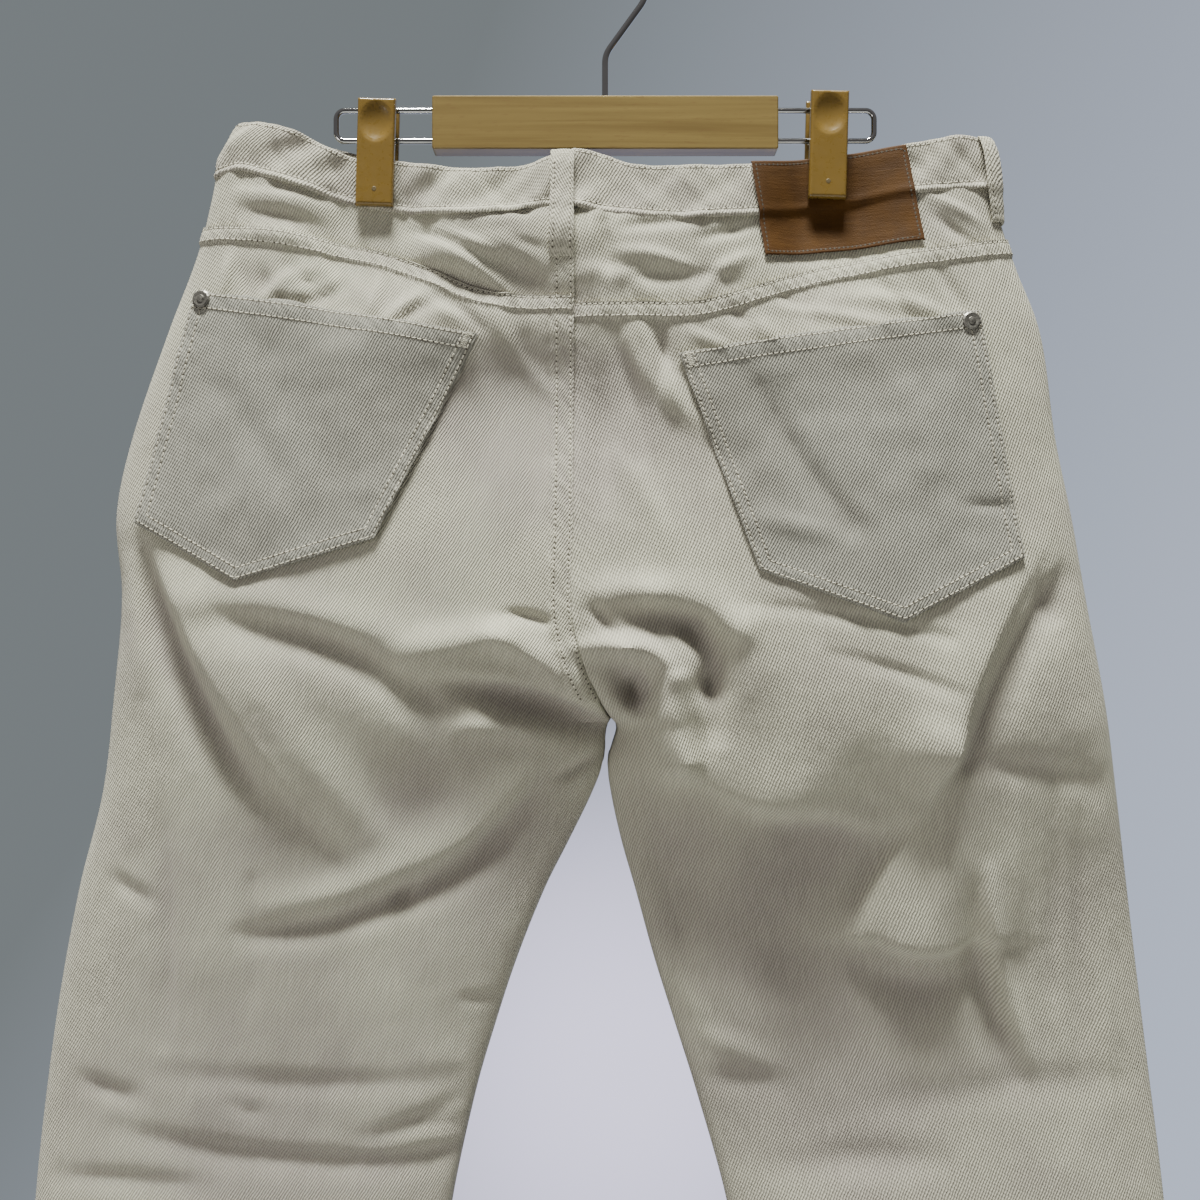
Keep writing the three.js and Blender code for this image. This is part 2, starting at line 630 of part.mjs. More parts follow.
const RIVET = [
  [0, 0],
  [RIVET_RADIUS, 0],
  [RIVET_RADIUS, 0.7],
  [RIVET_RADIUS - 0.9, 1.3],
  [2.2, 1.1],
  [1.7, 1.8],
  [0, 2],
];
const rivetOut = POCKET_LIFT + POCKET_GAPE + WALL + LIE;
const backRivets = { left: [-225.5, -211], right: [203.5, -224] };
for (const side of ["left", "right"]) {
  const [x, z] = backRivets[side];
  setOnCloth(`rivet_back_${side}`, turned(RIVET), side, turnAt(side, x, z), z, rivetOut);
  const scoopTop = frontTurns(side)[SCOOP_COLUMN] + 0.07;
  const mouth = along(ACROSS_FRONT, BAND[side], across(scoopTop), "t") - 9;
  setOnCloth(`rivet_front_${side}`, turned(RIVET), side, scoopTop, mouth, RIVET_LIFT + 2 * LIE);
  const low = Math.PI + SIDE_SEAM + 0.2;
  setOnCloth(`rivet_side_${side}`, turned(RIVET), side, low, frontTop(side, low) - 9, RIVET_LIFT);
}
{
  const button = [
    [0, 0],
    [4.5, 0],
    [4.5, 1.6],
    [BUTTON_RADIUS, 1.9],
    [BUTTON_RADIUS, 2.8],
    [BUTTON_RADIUS - 1.2, 3.9],
    [5, 3.4],
    [0, 3.4],
  ];
  const z = bandMiddle("right", 2 * Math.PI - 0.05);
  const turn = turnAt("right", along(MIDDLE, "front", z) + BUTTON_IN, z, true);
  setOnCloth("button", turned(button, 18), "right", turn, z, BAND_PROUD + BAND_THICK + 2 * LIE + 0.2);
}

// Hanger: the wooden bar, a wire bail each side that carries a clip, and the hook.
function manifoldOf(geometry) {
  const bare = geometry.clone();
  bare.deleteAttribute("normal");
  bare.deleteAttribute("uv");
  const merged = mergeVertices(bare, 1e-4);
  return new wasm.Manifold(
    new wasm.Mesh({
      numProp: 3,
      vertProperties: new Float32Array(merged.attributes.position.array),
      triVerts: new Uint32Array(merged.index.array),
    }),
  );
}

function geometryOf(solid) {
  const { vertProperties, triVerts, numProp } = solid.getMesh();
  const points = [];
  for (let i = 0; i < vertProperties.length; i += numProp) {
    points.push(new THREE.Vector3(...vertProperties.slice(i, i + 3)));
  }
  return solidOf(points, Array.from(triVerts));
}

// A box with its long edges rounded, centred, from a rounded outline pushed along Y.
function softBox(width, height, depth, corner, segments = 3) {
  const shape = new THREE.Shape();
  const [a, b] = [width / 2, height / 2];
  shape.moveTo(-a + corner, -b);
  for (const [x, y, from] of [[a, -b, -90], [a, b, 0], [-a, b, 90], [-a, -b, 180]]) {
    const start = THREE.MathUtils.degToRad(from);
    const [cx, cy] = [x - Math.sign(x) * corner, y - Math.sign(y) * corner];
    shape.absarc(cx, cy, corner, start, start + Math.PI / 2, false);
  }
  const rounded = Math.min(0.6, corner / 2);
  const made = new THREE.ExtrudeGeometry(shape, {
    depth: depth - 2 * rounded,
    bevelThickness: rounded,
    bevelSize: rounded,
    bevelOffset: -rounded,
    bevelSegments: 1,
    curveSegments: segments,
  });
  return made.translate(0, 0, -depth / 2 + rounded).rotateX(Math.PI / 2);
}

// Round wire bent along a path of straight runs and arcs.
function wire(path, radius, count, sides) {
  const ring = new THREE.Shape();
  ring.absarc(0, 0, radius, 0, 2 * Math.PI, false);
  return new THREE.ExtrudeGeometry(ring, { extrudePath: path, steps: count, curveSegments: sides });
}

class BentPath extends THREE.Curve {
  // points every few millimetres, already in order
  constructor(points) {
    super();
    this.points = points;
  }
  getPoint(t) {
    const at = t * (this.points.length - 1);
    const i = Math.min(Math.floor(at), this.points.length - 2);
    return this.points[i].clone().lerp(this.points[i + 1], at - i);
  }
  getPointAt(t) {
    return this.getPoint(t);
  }
  getTangentAt(t) {
    const step = 0.5 / (this.points.length - 1);
    return this.getPoint(Math.min(t + step, 1)).sub(this.getPoint(Math.max(t - step, 0))).normalize();
  }
}

const barMiddle = BAR.top - BAR.height / 2;
{
  // The bar, drilled for the ends of both bails and for the hook's stem.
  const bar = manifoldOf(softBox(BAR.length, BAR.height, BAR.depth, 1.2, 2));
  const bore = (radius, depth) => manifoldOf(new THREE.CylinderGeometry(radius, radius, depth, 10));
  let drilled = bar;
  for (const sign of [-1, 1]) {
    for (const up of [-1, 1]) {
      const hole = bore(WIRE_RADIUS + LIE, 24).rotate([0, 0, 90]);
      drilled = drilled.subtract(hole.translate([(sign * BAR.length) / 2, 0, (up * BAIL.height) / 2]));
    }
  }
  drilled = drilled.subtract(bore(HOOK_RADIUS + LIE, 24).rotate([90, 0, 0]).translate([0, 0, BAR.height / 2]));
  const mesh = add("hanger_bar", geometryOf(drilled), BEECH);
  mesh.position.z = barMiddle;
}

const bailPath = (sign) => {
  const [end, half, c] = [BAIL.reach, BAIL.height / 2, BAIL.corner];
  const start = BAR.length / 2 - 11;
  const points = [];
  const run = (x0, z0, x1, z1, n) => {
    for (let i = 0; i < n; i++) points.push(new THREE.Vector3(mix(x0, x1, i / n), 0, mix(z0, z1, i / n)));
  };
  const arc = (cx, cz, from, to, n) => {
    for (let i = 0; i < n; i++) {
      const a = THREE.MathUtils.degToRad(mix(from, to, i / n));
      points.push(new THREE.Vector3(cx + c * Math.cos(a), 0, cz + c * Math.sin(a)));
    }
  };
  run(start, half, end - c, half, 3);
  arc(end - c, half - c, 90, 0, 4);
  run(end, half - c, end, -half + c, 1);
  arc(end - c, -half + c, 0, -90, 4);
  run(end - c, -half, start, -half, 3);
  points.push(new THREE.Vector3(start, 0, -half));
  return points.map((p) => p.setX(sign * p.x));
};

{
  for (const side of ["left", "right"]) {
    const points = bailPath(sideSign[side]);
    const bent = wire(new BentPath(points), WIRE_RADIUS, points.length - 1, 4);
    const mesh = add(`clip_bail_${side}`, bent, CHROME);
    mesh.position.z = barMiddle;
  }
  // Stem, the lean to the right and the round of the hook, which ends low on the left.
  const centre = HOOK_RADIUS - HOOK_BEND;
  const [touchX, touchZ] = [HOOK_BEND * Math.cos(HOOK_LEAN), centre - HOOK_BEND * Math.sin(HOOK_LEAN)];
  const bendZ = touchZ - touchX / Math.tan(HOOK_LEAN);
  const soft = 5;
  const points = [new THREE.Vector3(0, 0, BAR.top - 11)];
  const corner = new THREE.QuadraticBezierCurve3(
    new THREE.Vector3(0, 0, bendZ - soft),
    new THREE.Vector3(0, 0, bendZ),
    new THREE.Vector3(soft * Math.sin(HOOK_LEAN), 0, bendZ + soft * Math.cos(HOOK_LEAN)),
  );
  points.push(new THREE.Vector3(0, 0, mix(BAR.top, bendZ, 0.3)), ...corner.getPoints(4));
  for (const u of steps(24)) {
    const a = mix(-HOOK_LEAN, HOOK_TIP, u);
    points.push(new THREE.Vector3(HOOK_BEND * Math.cos(a), 0, centre + HOOK_BEND * Math.sin(a)));
  }
  add("hook", wire(new BentPath(points), HOOK_RADIUS, points.length - 1, 5), CHROME);
}

// Clips: two leaves on a core that slides on the bail, closed on the waistband.
for (const side of ["left", "right"]) {
  const clip = new THREE.Group();
  clip.position.set(CLIP_X[side], 0, CLIP.top - CLIP.length / 2 + (side === "right" ? 2 : -1.5));
  clip.rotation.y = CLIP.lean;
  jeans.add(clip);
  const grip = PINCHED + BAND_PROUD + LIE; // the waistband's face inside the clip
  const patch = side === "right" ? PATCH_LIFT + PATCH_THICK : 0;
  const leaves = { back: -grip - patch, front: grip };
  for (const [leaf, inner] of Object.entries(leaves)) {
    const body = manifoldOf(softBox(CLIP.width, CLIP.length, CLIP.leaf, 2));
    const thumb = manifoldOf(new THREE.SphereGeometry(9, 16, 10)).scale([1, 0.34, 1.2]);
    const sign = Math.sign(inner);
    const dished = body.subtract(thumb.translate([0, (sign * CLIP.leaf) / 2 + sign * 2, CLIP.length / 2 - 13]));
    const mesh = add(`clip_${leaf}_${side}`, geometryOf(dished), CLIP_TAN, clip);
    mesh.position.y = inner + (sign * CLIP.leaf) / 2;
  }
  // The core fills the space between the leaves above the cloth, and is bored for the two wires.
  const [near, far] = [leaves.back + LIE, leaves.front - LIE];
  const core = { width: CLIP.width - 5, height: 28 };
  const drop = barMiddle - clip.position.z;
  let block = manifoldOf(new THREE.BoxGeometry(core.width, far - near, core.height));
  block = block.translate([0, (near + far) / 2, drop]);
  for (const up of [-1, 1]) {
    const hole = manifoldOf(new THREE.CylinderGeometry(WIRE_RADIUS + LIE, WIRE_RADIUS + LIE, 60, 10));
    block = block.subtract(
      hole
        .rotate([0, 0, 90])
        .rotate([0, -THREE.MathUtils.radToDeg(CLIP.lean), 0])
        .translate([0, 0, drop + (up * BAIL.height) / 2]),
    );
  }
  add(`clip_core_${side}`, geometryOf(block), CLIP_TAN, clip);
}

export default jeans;
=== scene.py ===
# Ecru denim jeans, hung with their back to the viewer from a wooden bar hanger with two clips.
# The frame is in metres: +Z up, -Y the side that the back of the jeans faces, and the origin at the
# inside top of the hook. Shapes are worked out in millimetres, and MM makes metres of them.
import math

import bpy
import numpy as np
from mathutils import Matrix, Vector
from mathutils.bvhtree import BVHTree


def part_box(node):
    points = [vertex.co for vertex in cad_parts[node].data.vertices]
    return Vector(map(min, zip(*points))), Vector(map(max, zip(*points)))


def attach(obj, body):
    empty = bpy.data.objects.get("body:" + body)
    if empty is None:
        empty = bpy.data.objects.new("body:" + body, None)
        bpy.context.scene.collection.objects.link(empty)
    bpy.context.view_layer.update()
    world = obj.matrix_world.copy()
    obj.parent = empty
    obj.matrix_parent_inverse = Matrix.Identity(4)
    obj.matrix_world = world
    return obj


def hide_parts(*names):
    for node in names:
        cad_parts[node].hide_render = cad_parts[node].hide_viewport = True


MM = 0.001
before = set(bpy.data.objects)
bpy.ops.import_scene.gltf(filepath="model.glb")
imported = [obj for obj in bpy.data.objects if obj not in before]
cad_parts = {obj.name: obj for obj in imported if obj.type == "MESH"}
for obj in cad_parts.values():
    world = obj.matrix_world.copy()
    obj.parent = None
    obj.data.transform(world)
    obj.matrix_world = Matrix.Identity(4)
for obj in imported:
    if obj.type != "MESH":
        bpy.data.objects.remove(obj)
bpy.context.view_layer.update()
scene = bpy.context.scene

# Camera: level, square to the back, at the height of the seat
CAMERA_AT = (-0.003, -0.692, -0.379)
camera = bpy.data.cameras.new("camera")
camera.sensor_width = 36
camera.lens = 36
camera.clip_start = 0.01
camera_object = bpy.data.objects.new("camera", camera)
camera_object.location = CAMERA_AT
camera_object.rotation_euler = (math.radians(90), 0, 0)
scene.collection.objects.link(camera_object)
scene.camera = camera_object


# World: a pale grey-blue room, lighter to the right and low in the middle, where it is lit
def set_inputs(tree, node, inputs):
    """Link each input of a node to a socket, or give it a value."""
    for key, value in inputs.items():
        if isinstance(value, bpy.types.NodeSocket):
            tree.links.new(value, node.inputs[key])
        else:
            node.inputs[key].default_value = value
    return node


def add_node(tree, kind, inputs=None, **settings):
    """A new node with its settings made and its inputs set."""
    made = tree.nodes.new(kind if kind.startswith("NodeGroup") else "ShaderNode" + kind)
    for name, value in settings.items():
        setattr(made, name, value)
    return set_inputs(tree, made, inputs or {})


def ranged(tree, value, low, high, to_low=0, to_high=1, curve="LINEAR"):
    """A value carried from one range to another and held at its ends."""
    ends = {"Value": value, "From Min": low, "From Max": high, "To Min": to_low, "To Max": to_high}
    return add_node(tree, "MapRange", ends, interpolation_type=curve).outputs["Result"]


def blend(tree, part, first, second):
    """A colour between two."""
    return add_node(tree, "Mix", {0: part, 6: first, 7: second}, data_type="RGBA").outputs[2]


def reckon(tree, operation, *values, clamp=False):
    """The result of an operation on numbers."""
    made = add_node(tree, "Math", dict(enumerate(values)), operation=operation, use_clamp=clamp)
    return made.outputs[0]


def reckon_vector(tree, operation, first, second):
    """The result of an operation on vectors: a number for a distance or a dot product."""
    key = "Scale" if operation == "SCALE" else 1
    made = add_node(tree, "VectorMath", {0: first, key: second}, operation=operation)
    return made.outputs["Value" if operation in ("DISTANCE", "DOT_PRODUCT") else "Vector"]


ROOM_LEFT = (0.25, 0.28, 0.295, 1)
ROOM_RIGHT = (0.78, 0.88, 1.10, 1)
ROOM_GLOW = (1.7, 1.64, 2.15, 1)
ROOM_FLOOR = (0.075, 0.070, 0.067, 1)
ROOM_CEILING = (0.27, 0.255, 0.25, 1)
GLOW_TOWARDS = (0.02, 0.92, -0.36)
SOFT = "SMOOTHSTEP"
world = bpy.data.worlds.new("room")
scene.world = world
world.use_nodes = True
tree = world.node_tree
tree.nodes.clear()
direction = add_node(tree, "TexCoord").outputs["Generated"]
apart = add_node(tree, "SeparateXYZ", {"Vector": direction}).outputs
low_right = reckon(tree, "MULTIPLY_ADD", apart["Z"], -0.5, apart["X"])
sides = blend(tree, ranged(tree, low_right, -0.3, 0.6), ROOM_LEFT, ROOM_RIGHT)
from_glow = reckon_vector(tree, "DISTANCE", direction, GLOW_TOWARDS)
lit = blend(tree, ranged(tree, from_glow, 0.34, 0.02, curve=SOFT), sides, ROOM_GLOW)
room = blend(tree, ranged(tree, apart["Z"], -0.6, 0.9, curve=SOFT), ROOM_FLOOR, ROOM_CEILING)
seen = blend(tree, ranged(tree, apart["Y"], 0.35, 0.7, curve=SOFT), room, lit)
background = add_node(tree, "Background", {"Color": seen, "Strength": 0.75})
add_node(tree, "OutputWorld", {"Surface": background.outputs[0]})


# Lights: a wide soft panel high in front, which leaves the undersides of the folds dark, and a weak
# one low on the left
def area_light(name, location, target, size, watts, color):
    """A rectangular light that faces its target."""
    light = bpy.data.lights.new(name, "AREA")
    light.shape = "RECTANGLE"
    light.size, light.size_y = size
    light.energy = watts
    light.color = color
    made = bpy.data.objects.new(name, light)
    made.location = location
    made.rotation_euler = (Vector(target) - Vector(location)).to_track_quat("-Z", "Y").to_euler()
    scene.collection.objects.link(made)


area_light("ceiling_panel", (-0.18, -0.80, 3.4), (0, 0, -0.45), (1.3, 0.5), 520, (1, 1, 0.91))
area_light("left_fill", (-1.7, -1.6, -0.5), (-0.1, 0, -0.8), (0.8, 0.8), 9, (1, 0.94, 0.90))


# Floor: a pale floor well below the hems, out of the camera's view
def new_material(name):
    """A new material and its node tree."""
    material = bpy.data.materials.new(name)
    material.use_nodes = True
    return material, material.node_tree


FLOOR_Z = -1.4
floor_mesh = bpy.data.meshes.new("floor")
floor_corners = [(x, y, FLOOR_Z) for x, y in ((-2, -2), (2, -2), (2, 0.25), (-2, 0.25))]
floor_mesh.from_pydata(floor_corners, [], [(0, 1, 2, 3)])
floor = bpy.data.objects.new("floor", floor_mesh)
floor_material, tree = new_material("floor")
paint = {"Base Color": (0.42, 0.42, 0.42, 1), "Roughness": 0.8}
set_inputs(tree, tree.nodes["Principled BSDF"], paint)
floor_mesh.materials.append(floor_material)
scene.collection.objects.link(floor)


# Denim: undyed cotton twill. The cloth's own coordinates are its UV map, in metres, with the warp
# along V; the twill lines rise to the right, and slubs and soft stains break the colour. Painted
# shade darkens the creases, and painted light and shade lie across the ropes of the seams.
def speckle(tree, place, scale, detail, **more):
    """A soft random value at a place."""
    inputs = {"Vector": place, "Scale": scale, "Detail": detail, **more}
    return add_node(tree, "TexNoise", inputs).outputs["Fac"]


def finish_material(material, height, distance, strength, inputs):
    """The material with its shader's inputs set and a bump of this height, distance and strength."""
    tree = material.node_tree
    bump = add_node(tree, "Bump", {"Height": height, "Distance": distance, "Strength": strength})
    set_inputs(tree, tree.nodes["Principled BSDF"], {"Normal": bump.outputs[0], **inputs})
    return material


TWILL_ANGLE = math.radians(62)
TWILL_PITCH = 0.00148
BEAD_PITCH = 0.0021


def twill_group():
    """Twill lines, slubs and soft blotches from a place on the cloth in metres."""
    group = bpy.data.node_groups.new("twill", "ShaderNodeTree")
    group.interface.new_socket("Cloth", in_out="INPUT", socket_type="NodeSocketVector")
    for name in ("Line", "Slub", "Blotch"):
        group.interface.new_socket(name, in_out="OUTPUT", socket_type="NodeSocketFloat")
    cloth = add_node(group, "NodeGroupInput").outputs[0]
    sine, cosine = math.sin(TWILL_ANGLE) * math.tau, math.cos(TWILL_ANGLE) * math.tau
    across = reckon_vector(group, "DOT_PRODUCT", cloth, (sine / TWILL_PITCH, -cosine / TWILL_PITCH, 0))
    run = reckon_vector(group, "DOT_PRODUCT", cloth, (cosine / BEAD_PITCH, sine / BEAD_PITCH, 0))
    bent = reckon(group, "MULTIPLY_ADD", speckle(group, cloth, 240, 2), 5.0, across)
    wave, beads = reckon(group, "SINE", bent), reckon(group, "SINE", run)
    stretched = reckon_vector(group, "MULTIPLY", cloth, (900, 45, 1))
    add_node(group, "NodeGroupOutput", {
        "Line": reckon(group, "MULTIPLY_ADD", beads, 0.22, wave),
        "Slub": speckle(group, stretched, 1, 3),
        "Blotch": speckle(group, cloth, 16, 4),
    })
    return group


twill = twill_group()


def denim(name, pale, stain_and_painted_shade):
    """Cotton twill, pale on its open faces, darker in its stains, with painted shade in its creases and
    painted light and shade across its seams' ropes.
    """
    material, tree = new_material(name)
    cloth = add_node(tree, "UVMap", uv_map="cloth").outputs[0]
    weave = add_node(tree, "Group", {"Cloth": cloth}, node_tree=twill).outputs
    # the mask of painted shade in the creases, kept on the cloth's points
    painted_shade_and_dark_edge = add_node(tree, "Attribute", attribute_name="painted_shade_and_dark_edge").outputs["Fac"]
    seam = add_node(tree, "Attribute", attribute_name="seam").outputs["Fac"]
    # the seams' ropes: a bump, and also painted light and shade in the colour
    slanted = reckon_vector(tree, "DOT_PRODUCT", cloth, (760, 560, 0))
    ropes = reckon(tree, "MULTIPLY_ADD", speckle(tree, cloth, 60, 1), 8, slanted)
    roped = reckon(tree, "MULTIPLY", reckon(tree, "SINE", ropes), seam)
    stain = ranged(tree, weave["Blotch"], 0.4, 0.68, 0, 0.55)
    # painted shade from the creases' mask, with painted light and shade across the seams' ropes
    painted_shading = reckon(tree, "MULTIPLY_ADD", roped, -0.14, painted_shade_and_dark_edge)
    tone = blend(tree, reckon(tree, "ADD", stain, painted_shading, clamp=True), pale, stain_and_painted_shade)
    lines = ranged(tree, weave["Line"], -1.2, 1.2, 0.56, 1.1)
    slubs = ranged(tree, weave["Slub"], 0.3, 0.7, 0.92, 1.06)
    height = reckon(tree, "MULTIPLY_ADD", weave["Slub"], 1.2, weave["Line"])
    raised = reckon(tree, "MULTIPLY_ADD", roped, 0.75, height)
    return finish_material(material, raised, 0.00018, 1.0, {
        "Base Color": reckon_vector(tree, "SCALE", tone, reckon(tree, "MULTIPLY", lines, slubs)),
        "Roughness": 0.92,
        "Specular IOR Level": 0.25,
        "Sheen Weight": 0.12,
        "Sheen Roughness": 0.6,
    })


# The second colour of each is the cloth in its stains, and also its painted shade.
DENIM = denim("denim", (0.60, 0.59, 0.475, 1), (0.45, 0.42, 0.37, 1))
POCKET_DENIM = denim("pocket_denim", (0.375, 0.372, 0.325, 1), (0.28, 0.27, 0.235, 1))


# Cloth's shape. A height down the garment is z, and turn runs round a leg: 0 at the middle of the
# back or at the leg's inner edge, pi at the folded outer edge, and two pi back at the middle, in
# front. The same driving sizes as the solids give the tube; folds then raise or sink its face.
def table(columns, rows):
    """Named columns of numbers from rows."""
    return dict(zip(columns.split(), np.array(rows, float).T))


def along(rows, column, at, key="z"):
    """Smooth interpolation down a table's column, by the column named key."""
    keys, values = rows[key], rows[column]
    if keys[0] > keys[-1]:
        keys, values = keys[::-1], values[::-1]
    slopes = np.empty_like(values)
    slopes[1:-1] = (values[2:] - values[:-2]) / (keys[2:] - keys[:-2])
    slopes[0] = (values[1] - values[0]) / (keys[1] - keys[0])
    slopes[-1] = (values[-1] - values[-2]) / (keys[-1] - keys[-2])
    i = np.clip(np.searchsorted(keys, at, side="right") - 1, 0, len(keys) - 2)
    span = keys[i + 1] - keys[i]
    s = np.clip((at - keys[i]) / span, 0, 1)
    return (
        values[i] * (2 * s**3 - 3 * s**2 + 1)
        + values[i + 1] * (3 * s**2 - 2 * s**3)
        + span * (slopes[i] * (s**3 - 2 * s**2 + s) + slopes[i + 1] * (s**3 - s**2))
    )


def smooth(v):
    """0 below 0, 1 above 1, and a soft step between."""
    v = np.clip(v, 0, 1)
    return v * v * (3 - 2 * v)


def bell(v, wide):
    """1 at 0, and soon 0 beyond this width to both sides."""
    return np.exp(-((v / wide) ** 2))


def mix(a, b, t):
    return a + (b - a) * t


def noise(x, z, size, seed, cells=61):
    """Soft random heights between -1 and 1, about size across."""
    grid = np.random.default_rng(seed).uniform(-1, 1, (cells, cells))
    u, v = np.asarray(x) / size, np.asarray(z) / size
    i, j = np.floor(u).astype(int), np.floor(v).astype(int)
    s, t = smooth(u - i), smooth(v - j)
    at = lambda a, b: grid[(i + a) % cells, (j + b) % cells]
    return mix(mix(at(0, 0), at(1, 0), s), mix(at(0, 1), at(1, 1), s), t)


HEM = -1110.0
CROTCH = -447.0
OUTLINE = table("z left right back_left back_right front", [
    (-104, -210, 218, 9, 9, 9),
    (-122, -220, 221, 11, 11, 11),
    (-148, -225.5, 223.5, 14, 14, 14),
    (-182, -233.5, 232.5, 18, 18, 18),
    (-226, -249.5, 248.5, 23, 23, 22),
    (-287, -269.5, 256.5, 29, 30, 26),
    (-331, -278, 265, 33, 34, 28),
    (-377, -274.5, 272.5, 36, 38, 30),
    (-437, -279.5, 283.5, 36, 39, 31),
    (-488, -286, 291, 32, 31, 33),
    (-544, -300, 298.5, 29, 22, 36),
    (-622, -314, 308, 27, 19, 38),
    (-725, -325.5, 320, 27, 22, 35),
    (-900, -335, 335, 26, 24, 30),
    (HEM, -341, 341, 24, 24, 24),
])
MIDDLE = table("z back front", [
    (-104, -17.5, 13),
    (-335, -18, 13),
    (-385, -18.5, 10),
    (-413, -12.8, 7.5),
    (-430, -6, 5),
    (CROTCH, 3.5, 3.5),
])
INNER = table("z left right", [
    (CROTCH, 3.2, 3.8),
    (-452, 1, 6.5),
    (-470, -0.8, 1.4),
    (-488, -7, 3),
    (-516, -20.5, 9),
    (-544, -34.5, 17),
    (-584, -50.5, 28),
    (-622, -63, 40),
    (-660, -74, 52),
    (-725, -88, 70),
    (-900, -116, 104),
    (HEM, -144, 139),
])
ACROSS_BACK = table("t top_left top_right band_left band_right yoke_left yoke_right", [
    (0, -123, -123, -157.5, -158.5, -208, -212),
    (0.06, -126, -125.5, -157.5, -160.5, -207.5, -212),
    (0.14, -132.5, -131.5, -160.5, -163, -207, -212),
    (0.26, -134.5, -132.5, -162.5, -164.5, -202, -212),
    (0.36, -132, -132, -161, -163.5, -192, -205.5),
    (0.5, -127, -129, -156.5, -159, -181, -194),
    (0.64, -124, -124.5, -151.5, -154, -175, -186.5),
    (0.8, -112, -119, -142, -149, -169.5, -181),
    (0.93, -106, -113.5, -135, -145.5, -167, -176),
    (1, -105, -115, -138, -145, -167, -173.5),
])
ACROSS_FRONT = table("t top_left top_right band_left band_right", [
    (0, -148, -148, -184, -184),
    (0.2, -145, -145, -181, -181),
    (0.45, -131, -132, -165, -166),
    (0.6, -126, -127, -159, -161),
    (0.8, -113, -122, -147, -155),
    (1, -105, -115, -138, -145),
])
CLIP_X = {"left": -131, "right": 127}
CLIP_HALF = 13
CLIP_FOOT = -156
PINCHED = 3.4
WALL = 1.4
